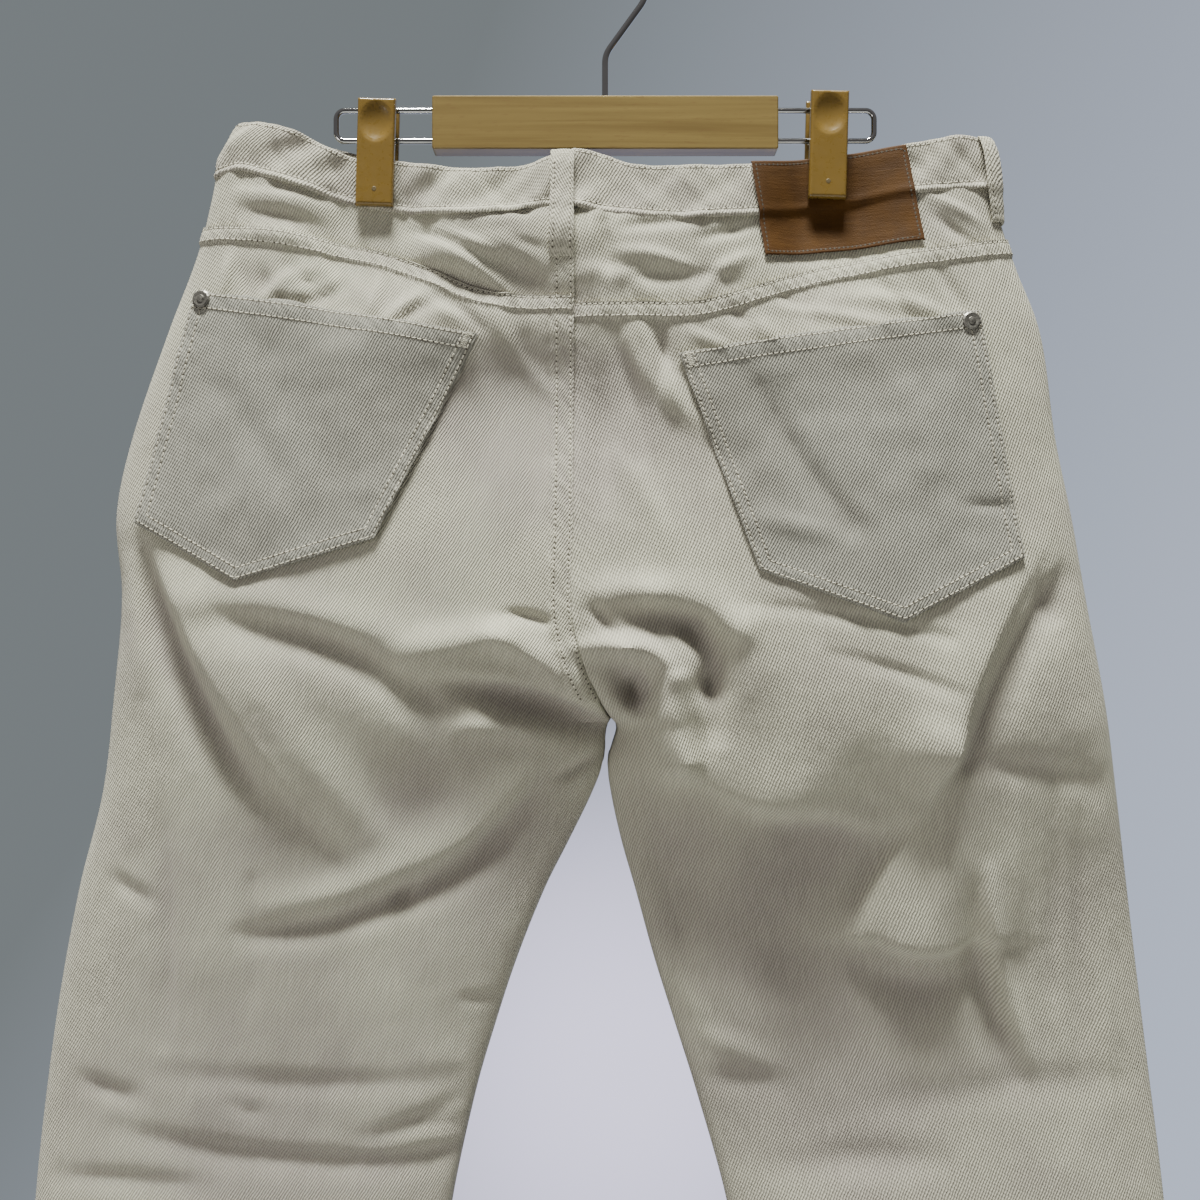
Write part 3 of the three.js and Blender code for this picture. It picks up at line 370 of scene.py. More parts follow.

# Folds, placed one by one. Each runs from (x0, z0) to (x1, z1) and bows to its left; left and right are
# its widths as it runs, and start, middle and end its heights, with troughs negative.
FOLD_COLUMNS = "x0 z0 x1 z1 bow left right start middle end"
BACK_FOLDS = table(FOLD_COLUMNS, [
    # outside the left seat: the valley, the cloth's edge over it, and the flange beyond
    (-258, -350, -192, -488, -6, 5, 13, -3, -11, -2),
    (-240, -372, -142, -522, -7, 20, 4, 2, 5.5, 1),
    (-262, -360, -258, -425, 0, 8, 8, 2, 3, 1),
    # under the left pocket and across the left seat
    (-238, -378, -86, -408, 5, 13, 9, 2, 3.5, 1),
    (-208, -388, -88, -442, 10, 8, 14, -3, -6, -3),
    (-205, -400, -112, -520, -6, 13, 11, 1, 3, 1),
    # the crotch, left
    (-116, -412, -56, -400, 3, 10, 8, 2, 4, 5),
    (-58, -400, -8, -438, 4, 10, 7, 5, 6.5, 3),
    (-58, -386, -33, -391, 1, 3, 4, -1, -3, -2),
    (-96, -424, -4, -446, 4, 5, 11, -3, -12, -9),
    (-86, -448, -30, -455, 2, 6, 7, 1, 3, 1),
    (-25, -478, -4, -466, 0, 4, 4, -2, -4, -3),
    # the smile crease across the left thigh, and the cloth that swells over it
    (-204, -564, -113, -543, -5, 4, 8, -1, -4, -4),
    (-113, -543, -28, -466, -11, 4, 10, -4, -5, -1),
    (-190, -548, -118, -529, -4, 9, 6, 1, 2.5, 2),
    (-114, -529, -44, -474, -8, 20, 5, 2, 4, 1),
    (-196, -534, -196, -602, 0, 3, 4, -1, -1.5, -0.5),
    # the left leg
    (-248, -486, -245, -624, 3, 4, 7, -0.5, -2.5, -1),
    (-274, -534, -250, -548, 0, 4, 5, -1, -2, -0.5),
    (-294, -647, -259, -657, 0, 4, 6, -1, -2.2, -0.5),
    (-252, -643, -86, -647, -4, 6, 7, -0.5, -1.8, -1),
    (-274, -673, -86, -691, -9, 5, 10, -1, -3, -2),
    (-213, -660, -190, -667, 0, 4, 4, -0.5, -1.6, -0.5),
    (-141, -681, -84, -660, -2, 4, 6, -0.5, -2, -1),
    (-308, -702, -222, -708, 3, 5, 7, -1, -2.2, -0.5),
    (-84, -602, -58, -604, 0, 3, 4, -0.3, -1.5, -1.5),
    (-112, -673, -76, -675, 1, 3, 4, -0.3, -1.5, -1.5),
    (-116, -691, -80, -688, 0, 3, 4, -0.3, -1.5, -1.5),
    # broad forms: the hollow between the yokes and the seat, and the thighs receding under it
    (-112, -286, 66, -290, 0, 46, 46, -3, -7, -3),
    (-84, -256, -12, -254, 0, 26, 40, -1.5, -8, -5),
    (-110, -194, -14, -212, 0, 9, 12, -0.5, -3.5, -2),
    (-150, -168, 60, -174, 0, 14, 18, 1.5, 4, 1.5),
    (90, -196, 190, -190, 0, 14, 18, 1, 2.5, 1),
    (-150, -500, -50, -505, 0, 34, 50, -2, -5, -4),
    (22, -498, 60, -580, 0, 26, 30, -3, -6, -3),
    (60, -665, 190, -660, 0, 95, 60, -2, -7.5, -3),
    (-270, -700, -120, -700, 0, 120, 60, -2, -7, -3),
    # the swirl round the crotch, right: hole, rope, trough and outer ridge
    (9, -421, 20, -436, 1, 8, 9, -7, -17, -8),
    (-18, -406, 12, -405, 1, 6, 6, 2, 5, 6),
    (12, -405, 37, -420, 5, 6, 7, 6, 6.5, 5),
    (38, -416, 42, -468, -3, 8, 11, 1.5, 12, 15),
    (16, -388, 48, -395, 3, 6, 8, -2, -5, -6),
    (48, -395, 57, -426, 5, 9, 8, -6, -8, -7),
    (57, -426, 56, -462, 2, 10, 6, -7, -5, -1),
    (-12, -379, 28, -376, 3, 8, 7, 1, 3.4, 3.4),
    (28, -376, 72, -396, 5, 14, 6, 3, 4, 3.5),
    (72, -396, 74, -440, 3, 18, 8, 3.5, 2.5, 0.5),
    (-8, -380, 4, -397, 0, 4, 5, -1, -3, -1),
    # the lower edge of the right seat
    (50, -476, 96, -494, -2, 26, 5, 2, 5, 5),
    (96, -494, 140, -499, 3, 30, 5.5, 5, 6.5, 3),
    (74, -450, 152, -450, 0, 46, 34, 3, 6, 3),
    (-215, -418, -70, -424, 0, 34, 36, 2, 4, 2),
    (90, -508, 140, -514, 2, 9, 30, -2, -5, -3),
    (110, -520, 112, -612, 0, 34, 36, -1.5, -3.5, -1.5),
    # the right seat's outer edge over the side strip, and the lobe at its foot
    (240, -355, 190, -464, -6, 3.5, 24, 1, 6, 7.5),
    (252, -366, 200, -468, -6, 12, 4, -3, -6, -4),
    (190, -464, 176, -492, -1, 4, 26, 7, 6, 2),
    (178, -528, 206, -532, 0, 34, 26, 3, 6, 2),
    (152, -566, 204, -566, -7, 44, 6, 7, 13, 8),
    (164, -508, 139, -562, -4, 4, 12, -3, -6, -3),
    (146, -588, 204, -592, -6, 7, 14, -2, -4, -2),
    (212, -530, 240, -640, -4, 6, 5, 2, 5, 1),
    (203, -538, 231, -646, -4, 6, 9, -2, -5, -2),
    (200, -468, 274, -480, 2, 7, 9, -0.5, -2.6, -1.5),
    (238, -366, 252, -394, 0, 9, 9, -1, -3, -1),
    (227, -482, 232, -565, 0, 4, 5, 0.5, 1.8, 0.5),
    (247, -470, 252, -600, 3, 4, 6, -0.5, -2, -1),
    (264, -500, 270, -640, 0, 5, 6, -0.5, -1.8, -0.5),
    (282, -560, 286, -680, 0, 5, 5, 0.3, 1.4, 0.3),
    (74, -381, 186, -399, 3, 3, 5, -0.5, -1.6, -1),
    (124, -408, 190, -429, 2, 3, 5, -0.5, -1.6, -1),
    # the right leg's inner side
    (38, -590, 56, -622, 0, 7, 5, 0.5, 2, 0.5),
    (52, -625, 97, -644, 2, 6, 7, 0.8, 1.8, 0.5),
    (52, -650, 103, -652, 1, 5, 8, -0.5, -1.5, -0.5),
    (150, -664, 300, -650, 4, 9, 11, -0.5, -2, -0.5),
    (96, -700, 190, -694, 3, 8, 10, -0.5, -2, -0.5),
    # lower down, below the photo's edge
    (-318, -770, -140, -790, -10, 10, 14, -0.5, -3, -1),
    (-320, -880, -170, -850, -8, 12, 16, -0.5, -3.5, -1),
    (-330, -985, -150, -1000, 8, 14, 16, -0.5, -2.5, -0.5),
    (110, -800, 300, -775, 9, 12, 16, -0.5, -3, -1),
    (130, -890, 325, -915, 8, 14, 16, -0.5, -3, -1),
    (150, -1020, 320, -1005, 8, 14, 16, -0.5, -2.5, -0.5),
    # crisp wrinkles between the left yoke and its pocket
    (-188, -206, -150, -197, -4, 4, 3, 0.8, 2, 1.6),
    (-184, -211, -150, -203, -4, 3, 3, -0.8, -1.6, -1),
    (-129, -199, -132, -216, 0, 3, 2, 1, 1.8, 1),
    (-121, -220, -99, -206, 2, 3, 4, 1, 2, 0.5),
    (-116, -222, -96, -211, 2, 3, 4, -1, -2.2, -0.5),
    # the left yoke, between the band and the pocket
    (-206, -148, -128, -166, 3, 4, 7, 1, 2.6, 3),
    (-128, -166, -56, -205, 4, 4, 8, 3, 3.6, 2),
    (-170, -172, -60, -208, 3, 4, 6, -1, -3.6, -3),
    (-204, -158, -154, -170, 2, 4, 6, -1, -2.6, -1),
    (-128, -166, -84, -176, 1, 4, 5, -1.5, -3, -1),
    (-96, -170, -62, -184, 1, 3, 4, 1, 2.2, 1),
    (-62, -188, -36, -200, 0, 5, 6, -1.5, -2.6, -1),
    (-52, -176, -34, -182, 0, 3, 4, -0.5, -1.6, -0.5),
    (-205, -172, -150, -180, 2, 4, 4, 0.5, 1.6, 0.5),
    (-100, -158, -40, -164, -2, 5, 6, 0.5, 1.8, 0.8),
    (-74, -177, -36, -181, 0, 7, 7, 0.5, 1.6, 0.5),
    (-212, -186, -214, -206, 0, 3, 4, 1, 2, 1),
    (-194, -195, -190, -208, 0, 5, 5, -1.5, -2.5, -1),
    (-190, -208, -155, -193, 5, 4, 5, 1.5, 2.6, 1),
    (-145, -195, -133, -214, 1, 4, 5, 1, 2.4, 1),
    (-129, -197, -129, -217, 0, 3, 4, 1, 2, 1),
    (-122, -223, -106, -206, 0, 4, 4, 1, 2.4, 1),
    (-96, -214, -80, -222, 0, 4, 5, 0.5, 1.8, 0.5),
    # the right yoke, and between it and the pocket
    (-1, -168, 2, -194, 0, 4, 5, -2, -3.2, -2),
    (8, -170, 44, -166, 1, 3, 4, -0.5, -2, -1),
    (6, -184, 50, -194, 3, 4, 5, 1, 2.6, 1),
    (14, -200, 74, -200, 4, 4, 6, -1, -1.8, -1),
    (96, -190, 178, -184, -3, 4, 6, 0.5, 2, 0.5),
    (184, -150, 214, -166, 1, 3, 4, 0.5, 2, 0.5),
    (186, -160, 206, -176, 0, 3, 4, -0.5, -2, -1),
    (-14, -194, 26, -206, 3, 5, 6, 1, 2.4, 1),
    (54, -209, 82, -185, 4, 4, 5, 1, 2.4, 1),
    (52, -176, 84, -167, 0, 3, 4, -0.5, -2, -1),
    (70, -217, 80, -223, 0, 5, 5, -1.5, -2.6, -1.5),
    (82, -221, 95, -237, 1, 4, 5, 1, 2.4, 1),
    (100, -215, 164, -228, 2, 4, 3, 1, 2.4, 1),
    (128, -209, 194, -223, 6, 4, 5, 1, 2.4, 1),
    (46, -229, 70, -239, 0, 3, 4, 0.5, 1.8, 0.5),
    (13, -235, 54, -282, -4, 7, 6, 1.5, 3.4, 1),
    (27, -229, 37, -250, 0, 6, 6, -1.5, -3, -1.5),
    (-3, -256, 0, -326, 0, 6, 7, -1, -3, -1),
    # long soft creases down from the yoke seam, beside the middle
    (4, -224, 22, -300, 3, 4, 6, -1, -2.8, -1),
    (16, -222, 40, -268, 2, 4, 5, 1, 2.6, 1),
    (34, -226, 30, -262, 0, 3, 4, -1, -2.2, -1),
    (8, -300, 34, -352, 4, 6, 8, 1, 2.4, 1),
    (-64, -214, -30, -262, -4, 5, 6, 0.5, 1.8, 0.8),
    (-52, -218, -40, -330, 3, 7, 6, -0.5, -2, -1),
    (-100, -205, -70, -226, 2, 3, 4, -1, -2.2, -1),
    (-178, -190, -160, -206, 0, 3, 4, -1, -2.2, -1),
    (-162, -186, -148, -208, 0, 3, 3, 1, 2.2, 1),
    (-204, -192, -200, -208, 0, 3, 3, -1, -2, -1),
    (110, -198, 118, -226, 0, 3, 4, -1, -2.2, -1),
    (92, -204, 112, -214, 0, 3, 4, -1, -2, -1),
    (150, -198, 170, -220, 2, 4, 4, -1, -2, -1),
    (186, -190, 200, -214, 0, 4, 4, -1, -2, -1),
    # inside the right pocket
    (86, -262, 136, -338, -3, 6, 9, -1.5, -3, -1.5),
    (164, -256, 183, -338, 2, 6, 7, 0.5, 1.8, 0.5),
    (196, -327, 224, -327, 0, 3, 4, -0.5, -1.6, -0.5),
    (84, -334, 126, -344, 0, 5, 6, 0.5, 1.8, 0.5),
    # inside the left pocket
    (-226, -250, -170, -330, 5, 9, 8, -0.5, -1.4, -0.5),
    (-150, -246, -128, -318, -3, 7, 8, 0.5, 1.4, 0.5),
])
FRONT_FOLDS = table(FOLD_COLUMNS, [
    # whiskers from the crotch
    (-8, -438, -120, -398, 10, 12, 14, 4, 6, 1),
    (-6, -446, -130, -440, 8, 8, 12, -4, -7, -1),
    (-14, -410, -110, -360, 10, 6, 10, -1, -3, -0.5),
    (14, -438, 128, -396, -10, 14, 12, 4, 6, 1),
    (12, -446, 140, -442, -8, 12, 8, -4, -7, -1),
    (18, -410, 120, -356, -10, 10, 6, -1, -3, -0.5),
    # hips and clips
    (-250, -300, -196, -470, 8, 14, 16, -2, -6, -1),
    (252, -310, 200, -480, -8, 16, 14, -2, -6, -1),
    (-130, -160, -60, -260, 6, 10, 14, 1, 4, 1),
    (126, -160, 70, -270, -6, 14, 10, 1, 4, 1),
    (-150, -170, -190, -250, 5, 7, 9, -1, -3, -1),
    (150, -170, 196, -246, -5, 9, 7, -1, -3, -1),
    # thighs and legs
    (-240, -560, -60, -540, -12, 10, 16, -1, -5, -2),
    (60, -545, 250, -575, 12, 16, 10, -2, -5, -1),
    (-310, -690, -110, -720, 10, 12, 14, -1, -4, -1),
    (100, -720, 300, -690, 10, 14, 12, -1, -4, -1),
    (-310, -620, -200, -650, 6, 5, 8, -0.5, -2.2, -0.5),
    (150, -640, 290, -610, 6, 8, 5, -0.5, -2.2, -0.5),
    (-320, -820, -140, -850, 12, 14, 16, -0.5, -3, -1),
    (120, -860, 330, -820, 12, 16, 14, -0.5, -3, -1),
    (-330, -960, -150, -985, 10, 14, 16, -0.5, -2.5, -0.5),
    (140, -990, 330, -960, 10, 14, 16, -0.5, -2.5, -0.5),
])


def fold_height(rows, x, z):
    """How high the folds stand at (x, z)."""
    total = np.zeros_like(x)
    for x0, z0, x1, z1, bow, left, right, start, middle, end in zip(*rows.values()):
        dx, dz = x1 - x0, z1 - z0
        length = math.hypot(dx, dz)
        u = ((x - x0) * dx + (z - z0) * dz) / length**2
        v = np.clip(u, 0, 1)
        off = (dx * (z - z0) - dz * (x - x0)) / length - 4 * bow * v * (1 - v)
        wide = np.where(off > 0, left, right)
        past = (u - v) * length / (left + right)
        height = start * (1 - v) * (1 - 2 * v) + 4 * middle * v * (1 - v) + end * v * (2 * v - 1)
        total += height * np.exp(-((off / wide) ** 2) - (2 * past) ** 2)
    return total


def inner_edge(side, front, z):
    """Where the cloth's inner edge is: the middle seams, and the legs' inner folds below them."""
    seam = np.where(front, along(MIDDLE, "front", z), along(MIDDLE, "back", z))
    return np.where(z > CROTCH, seam, along(INNER, side, z))


def folds_at(front, x, z):
    """How high the folds of the front, or of the back, stand at (x, z)."""
    return np.where(front, fold_height(FRONT_FOLDS, x, z), fold_height(BACK_FOLDS, x, z))


def cloth_at(side, turn, z, creased=True):
    """Points of the cloth's face, in millimetres, for arrays of turn and z."""
    turn, z = np.broadcast_arrays(np.asarray(turn, float), np.asarray(z, float))
    front = (turn < 0) | ((turn > math.pi) & (turn <= math.tau))
    inner = inner_edge(side, front, z)
    x = mix(inner, along(OUTLINE, side, z), share(turn))
    rise = np.abs(np.sin(turn))
    full = rise**0.5
    # above the crotch the two halves join, so the tube stays full up to the middle
    above = z - CROTCH
    joined = (above > 0) & (np.cos(turn) > 0)
    filled = np.where(joined, np.sqrt(1 - np.clip(1 - above / 60, 0, 1) ** 2), 0)
    full += filled * (1 - full) * bell(x - inner, 36 + 3 * np.maximum(above, 0))
    calm = np.maximum(np.minimum(1, 2 * rise), filled)
    depth = np.where(front, along(OUTLINE, "front", z), along(OUTLINE, "back_" + side, z)) * full
    # the clips pinch it, and nothing folds between their leaves
    beyond = np.minimum(*(np.abs(x - at) for at in CLIP_X.values())) - CLIP_HALF
    held = bell(np.maximum(beyond, 0), 24) * (1 - smooth((CLIP_FOOT - z) / 90))
    depth -= held * np.maximum(depth - PINCHED, 0)
    if creased:
        mirrored = np.where(front, 900 - x, x)
        folds = folds_at(front, x, z) + 0.7 * noise(mirrored, z, 44, 3)
        folds += 0.3 * noise(mirrored * 1.2, z * 0.8, 15, 4) + 0.13 * noise(mirrored, z, 5.5, 5)
        depth += calm * (1 - held) * folds
    return np.stack([x, np.where(front, depth, -depth), z], -1)


def turn_at(side, x, z, front=False):
    """The turn at which the back or front of a leg has this x."""
    inner = inner_edge(side, front, z)
    t = np.clip((x - inner) / (along(OUTLINE, side, z) - inner), 0.0002, 0.9998)
    turn = np.arccos(1 - 2 * t)
    return math.tau - turn if front else turn


def share(turn):
    """How far a turn is from the middle towards the folded side, from 0 to 1."""
    return (1 - np.cos(turn)) / 2


def grid_normals(grid):
    """Unit normals of a grid of points, out of the face whose columns run right as rows run down."""
    normals = np.cross(np.gradient(grid, axis=0), np.gradient(grid, axis=1))
    return normals / np.linalg.norm(normals, axis=-1, keepdims=True)


def raise_face(grid, lift, flip=1):
    """The grid moved out along its own normals by lift."""
    return grid + grid_normals(grid) * flip * np.asarray(lift, float)[..., None]


def unrolled(side, turn, z):
    """The cloth's own place for each point of a leg panel: the warp runs straight down the leg."""
    base = cloth_at(side, turn, z, False)
    x, z = base[..., 0], base[..., 2]
    steps = np.linalg.norm(np.diff(base, axis=1, prepend=base[:, :1]), axis=-1)
    across = np.cumsum(steps, axis=1)
    # across is measured from a straight line down the leg, from the waist to the hem
    out = FACING[side] * x - mix(115, 230, np.clip((-130 - z) / 980, 0, 1))
    rows = np.arange(len(out))
    column = np.argmax(out[:, :-1] * out[:, 1:] <= 0, axis=1)
    before, after = out[rows, column], out[rows, column + 1]
    t = np.clip(before / np.where(before == after, 1, before - after), 0, 1)
    across -= mix(across[rows, column], across[rows, column + 1], t)[:, None]
    return np.stack([FACING[side] * across, z], -1)


def closed_sheet(face, back, flip):
    """Points in metres and faces of a sheet between two grids; flip is -1 to turn its faces over."""
    rows, columns = face.shape[:2]
    behind = rows * columns
    at = np.arange(behind).reshape(rows, columns)
    quads = np.stack([at[:-1, :-1], at[1:, :-1], at[1:, 1:], at[:-1, 1:]], -1).reshape(-1, 4)
    rim = np.concatenate([at[0, :], at[1:, -1], at[-1, -2::-1], at[-2:0:-1, 0]])
    after = np.roll(rim, -1)
    sides = np.stack([rim, after, after + behind, rim + behind], -1)
    if flip < 0:
        quads, sides = quads[:, ::-1], sides[:, ::-1]
    points = np.concatenate([face.reshape(-1, 3), back.reshape(-1, 3)]) * MM
    return points.tolist(), np.concatenate([quads, quads[:, ::-1] + behind, sides]).tolist()


def add_piece(name, data, *materials):
    """A new object of the scene, which rides with the root."""
    for material in materials:
        data.materials.append(material)
    made = bpy.data.objects.new(name, data)
    scene.collection.objects.link(made)
    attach(made, "root")
    return made


def shade_mesh(mesh, angle):
    """Smooth shading, with creases where faces meet at more than this angle."""
    mesh.shade_smooth()
    mesh.set_sharp_from_angle(angle=math.radians(angle))


def make_shell(name, face, thick=WALL, flip=1, place=None, painted_shade_and_dark_edge=0, material=DENIM, seam=0):
    """A closed piece of cloth from its face; place is each point's own place on the cloth. Its points
    also carry a mask of painted shade (on leather, of its darker sewn edges) and one of its seams.
    """
    points, faces = closed_sheet(face, raise_face(face, -thick, flip), flip)
    mesh = bpy.data.meshes.new(name)
    mesh.from_pydata(points, [], faces)
    place = (face[..., [0, 2]] if place is None else place).reshape(-1, 2) * MM
    corners = np.empty(len(mesh.loops), int)
    mesh.loops.foreach_get("vertex_index", corners)
    uv = mesh.uv_layers.new(name="cloth")
    uv.data.foreach_set("uv", np.concatenate([place, place])[corners].ravel())
    for key, values in (("painted_shade_and_dark_edge", np.clip(painted_shade_and_dark_edge, 0, 1)), ("seam", seam)):
        values = (np.zeros(face.shape[:2]) + values).ravel()
        attribute = mesh.attributes.new(key, "FLOAT", "POINT")
        attribute.data.foreach_set("value", np.concatenate([values, values]))
    shade_mesh(mesh, 48)
    return add_piece(name, mesh, material)


def crease_shade(grid):
    """How much painted shade each point of a back or front face gets, from how deep in a fold it lies: 0
    to 0.8.
    """
    return np.clip(-folds_at(grid[..., 1] > 0, grid[..., 0], grid[..., 2]) / 9, 0, 0.8)


def lengths(line):
    """How far along a line of points each one lies."""
    return np.append(0, np.cumsum(np.linalg.norm(np.diff(line, axis=0), axis=-1)))


def spaced(*stretches):
    """Places along a line, from stretches of (start, end, step)."""
    parts = [np.linspace(a, b, max(2, round(abs(b - a) / step) + 1))[:-1] for a, b, step in stretches]
    return np.append(np.concatenate(parts), stretches[-1][1])


def inside(distance, edge, soft=4.0):
    """1 within an edge, and falling to 0 over a soft margin past it."""
    return 1 - smooth((distance - edge) / soft)


def grooves(distance, rows, wide=0.9):
    """The dents that rows of stitches pull into the cloth; each row is (distance, depth)."""
    return -sum(deep * bell(distance - at, wide) for at, deep in rows)


def pucker(along_seam, distance, seed, high=0.32, reach=8):
    """Small waves beside a seam, where sewing and washing have drawn it in."""
    waves = noise(along_seam, distance * 0.4, 6.5, seed)
    waves += 0.6 * noise(along_seam, distance * 0.3, 3.4, seed + 1)
    return high * waves * np.exp(-np.abs(distance) / reach)


# Leg panels: two backs and two fronts. The backs' top edge laps over the yoke as a felled band, and
# the left back laps over the right at the middle. Fronts are scooped for the pockets.
SIDE_SEAM = math.pi + 0.3
FACING = {"left": -1, "right": 1}
FINE = 2.7
FRONT_FINE = 4.6
FELL = 9.5
MIDDLE_FELL = 12.0
HEM_FOLD = 11.4
YOKE_ROWS = [(1.5, 0.3), (8.0, 0.34)]
MIDDLE_ROWS = [(1.7, 0.3), (9.6, 0.32)]
SCOOP_ROWS = [(1.7, 0.22), (7.6, 0.22)]
HEM_ROWS = [(10.2, 0.22)]
SIDE_BULGE = 0.03


def inseam_shift(z):
    """How far the seams of the legs' inner edges lie round to the front."""
    return 0.25 * smooth((CROTCH - z) / 40)


def from_middle(distance, width=270):
    """The turn at a distance from the middle seam, where a half is width across."""
    return np.arccos(1 - 2 * np.asarray(distance) / width)


def back_turns(side):
    near = from_middle([0, 0.8, 1.6, 4, 8, 10.8, 11.8, 12.8, 15])
    return np.concatenate([near, spaced((near[-1] + 0.02, SIDE_SEAM, FINE / 130))])


def front_turns(side):
    near = math.tau - from_middle([15, 8, 4, 1.6, 0])
    return np.concatenate([spaced((SIDE_SEAM, near[0] - 0.02, 0.043)), near])


def panel_rows(top, step):
    """Heights down a leg panel under its top edge: close at the edge, at the seat and at the hem."""
    close = np.array([0, 0.7, 1.5, 2.6, 5, 7.4, 8.6, 9.4, 10.2, 12, 14.5])[:, None]
    level, foot = -262, -728
    settle = np.linspace(0, 1, round(60 / step) + 1)[1:, None]
    down_leg = spaced(
        (level, -380, 1.25 * step),
        (-380, -482, 0.7 * step),
        (-482, -640, 1.1 * step),
        (-640, foot, 1.5 * step),
        (foot, HEM + 16, 9),
        (HEM + 16, HEM + 9, 1.4),
        (HEM + 9, HEM + 2, 2.4),
        (HEM + 2, HEM, 0.8),
    )[1:, None]
    return np.concatenate([top - close, mix(top - close[-1], level, settle), down_leg + 0 * top])


def hem_lift(z):
    """The doubled cloth of the hem and its row of stitches."""
    over = z - HEM
    return 0.45 * inside(over, HEM_FOLD, 1.2) + grooves(over, HEM_ROWS) + pucker(z * 0, over, 9, 0.2)


def yoke_edge(side, turn):
    """The height of the seam between a yoke and its back panel."""
    return along(ACROSS_BACK, "yoke_" + side, share(turn), "t")


def middle_band(side, x, z, turn):
    """How far points are from the middle seam of the back, and whether its felled band can be there."""
    return np.abs(x - along(MIDDLE, "back", z)), (z > CROTCH + 12) & (turn < 1)


def middle_fell(side, x, z, turn):
    """The left side's lap at the middle of the back, and the dents of its two rows of stitches."""
    far, near_back = middle_band(side, x, z, turn)
    if side == "right":
        return np.where(near_back, pucker(z, far, 31, 0.25, 6) - 0.5 * np.exp(-far / 2.5), 0)
    band = 1.25 * inside(far, MIDDLE_FELL - 0.6, 1.3) + grooves(far, MIDDLE_ROWS)
    return np.where(near_back, band + pucker(z, far - MIDDLE_FELL, 33, 0.28, 7), 0)


def back_panel(side):
    turn = back_turns(side)
    z = panel_rows(yoke_edge(side, turn), FINE)
    turn = turn - inseam_shift(z) * (1 - turn / SIDE_SEAM)
    base = cloth_at(side, turn, z)
    x = base[..., 0]
    under = yoke_edge(side, turn) - z
    lift = 1.25 * inside(under, FELL - 0.8, 1.2) + grooves(under, YOKE_ROWS)
    lift += pucker(x, under - FELL, 21, 0.42, 9)
    lift += middle_fell(side, x, z, turn) + hem_lift(z)
    lift += 0.5 * bell(turn - SIDE_SEAM, SIDE_BULGE) - 0.3 * bell(turn - SIDE_SEAM + 0.09, 0.04)
    face = raise_face(base, lift, FACING[side])
    far, near_back = middle_band(side, x, z, turn)
    by_middle = inside(far, MIDDLE_FELL) * near_back * (1 if side == "left" else 0.3)
    seam = np.maximum.reduce([inside(under, FELL), by_middle, inside(z - HEM, 11)])
    place = unrolled(side, turn, z)
    return make_shell("denim_back_" + side, face, WALL, FACING[side], place, crease_shade(base), seam=seam)


def share_of_clip(side):
    return share(turn_at(side, CLIP_X[side], -150, front=True))


def scoop_top(side, turn):
    """The front's top edge: along the waistband, then down the pocket's scoop to the side seam."""
    band = lambda at: along(ACROSS_FRONT, "band_" + side, share(at), "t")
    foot = mix(yoke_edge(side, SIDE_SEAM), -296, 0.2)
    clip = math.tau - np.arccos(1 - 2 * share_of_clip(side))
    start = share(clip + 0.29)
    w = np.clip((share(turn) - start) / (share(SIDE_SEAM) - start), 0, 1)
    return band(turn) - (band(SIDE_SEAM) - foot) * np.sqrt(1 - (1 - w) ** 2)


def front_panel(side):
    turn = front_turns(side)
    z = panel_rows(scoop_top(side, turn), FRONT_FINE)
    turn = turn - inseam_shift(z) * (turn - SIDE_SEAM) / (math.tau - SIDE_SEAM)
    base = cloth_at(side, turn, z)
    under = scoop_top(side, turn) - z
    curved = smooth((5.2 - turn) / 0.2)
    lift = curved * (0.5 * inside(under, 8.4, 1.2) + grooves(under, SCOOP_ROWS))
    lift += hem_lift(z) + 0.4 * bell(turn - SIDE_SEAM, SIDE_BULGE)
    face = raise_face(base, lift, FACING[side])
    seam = np.maximum(curved * inside(under, 8), inside(z - HEM, 11))
    place = unrolled(side, turn, z)
    return make_shell("denim_front_" + side, face, WALL, FACING[side], place, crease_shade(base), seam=seam)


shells = {}
for side in FACING:
    shells["back_" + side] = back_panel(side)
    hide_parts("back_panel_" + side)
    shells["front_" + side] = front_panel(side)
    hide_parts("front_panel_" + side)


# Yokes, between the waistband and the backs, tucked under the backs' felled edge; and the facings
# that show in the front pockets' scoops.
FACING_END = 5.0


def band_edge(side, turn, kind):
    """The height of the waistband's top or lower edge, round the whole waist."""
    back = along(ACROSS_BACK, kind + "_" + side, share(turn), "t")
    front = along(ACROSS_FRONT, kind + "_" + side, share(turn), "t")
    return np.where(turn > math.pi, front, back)


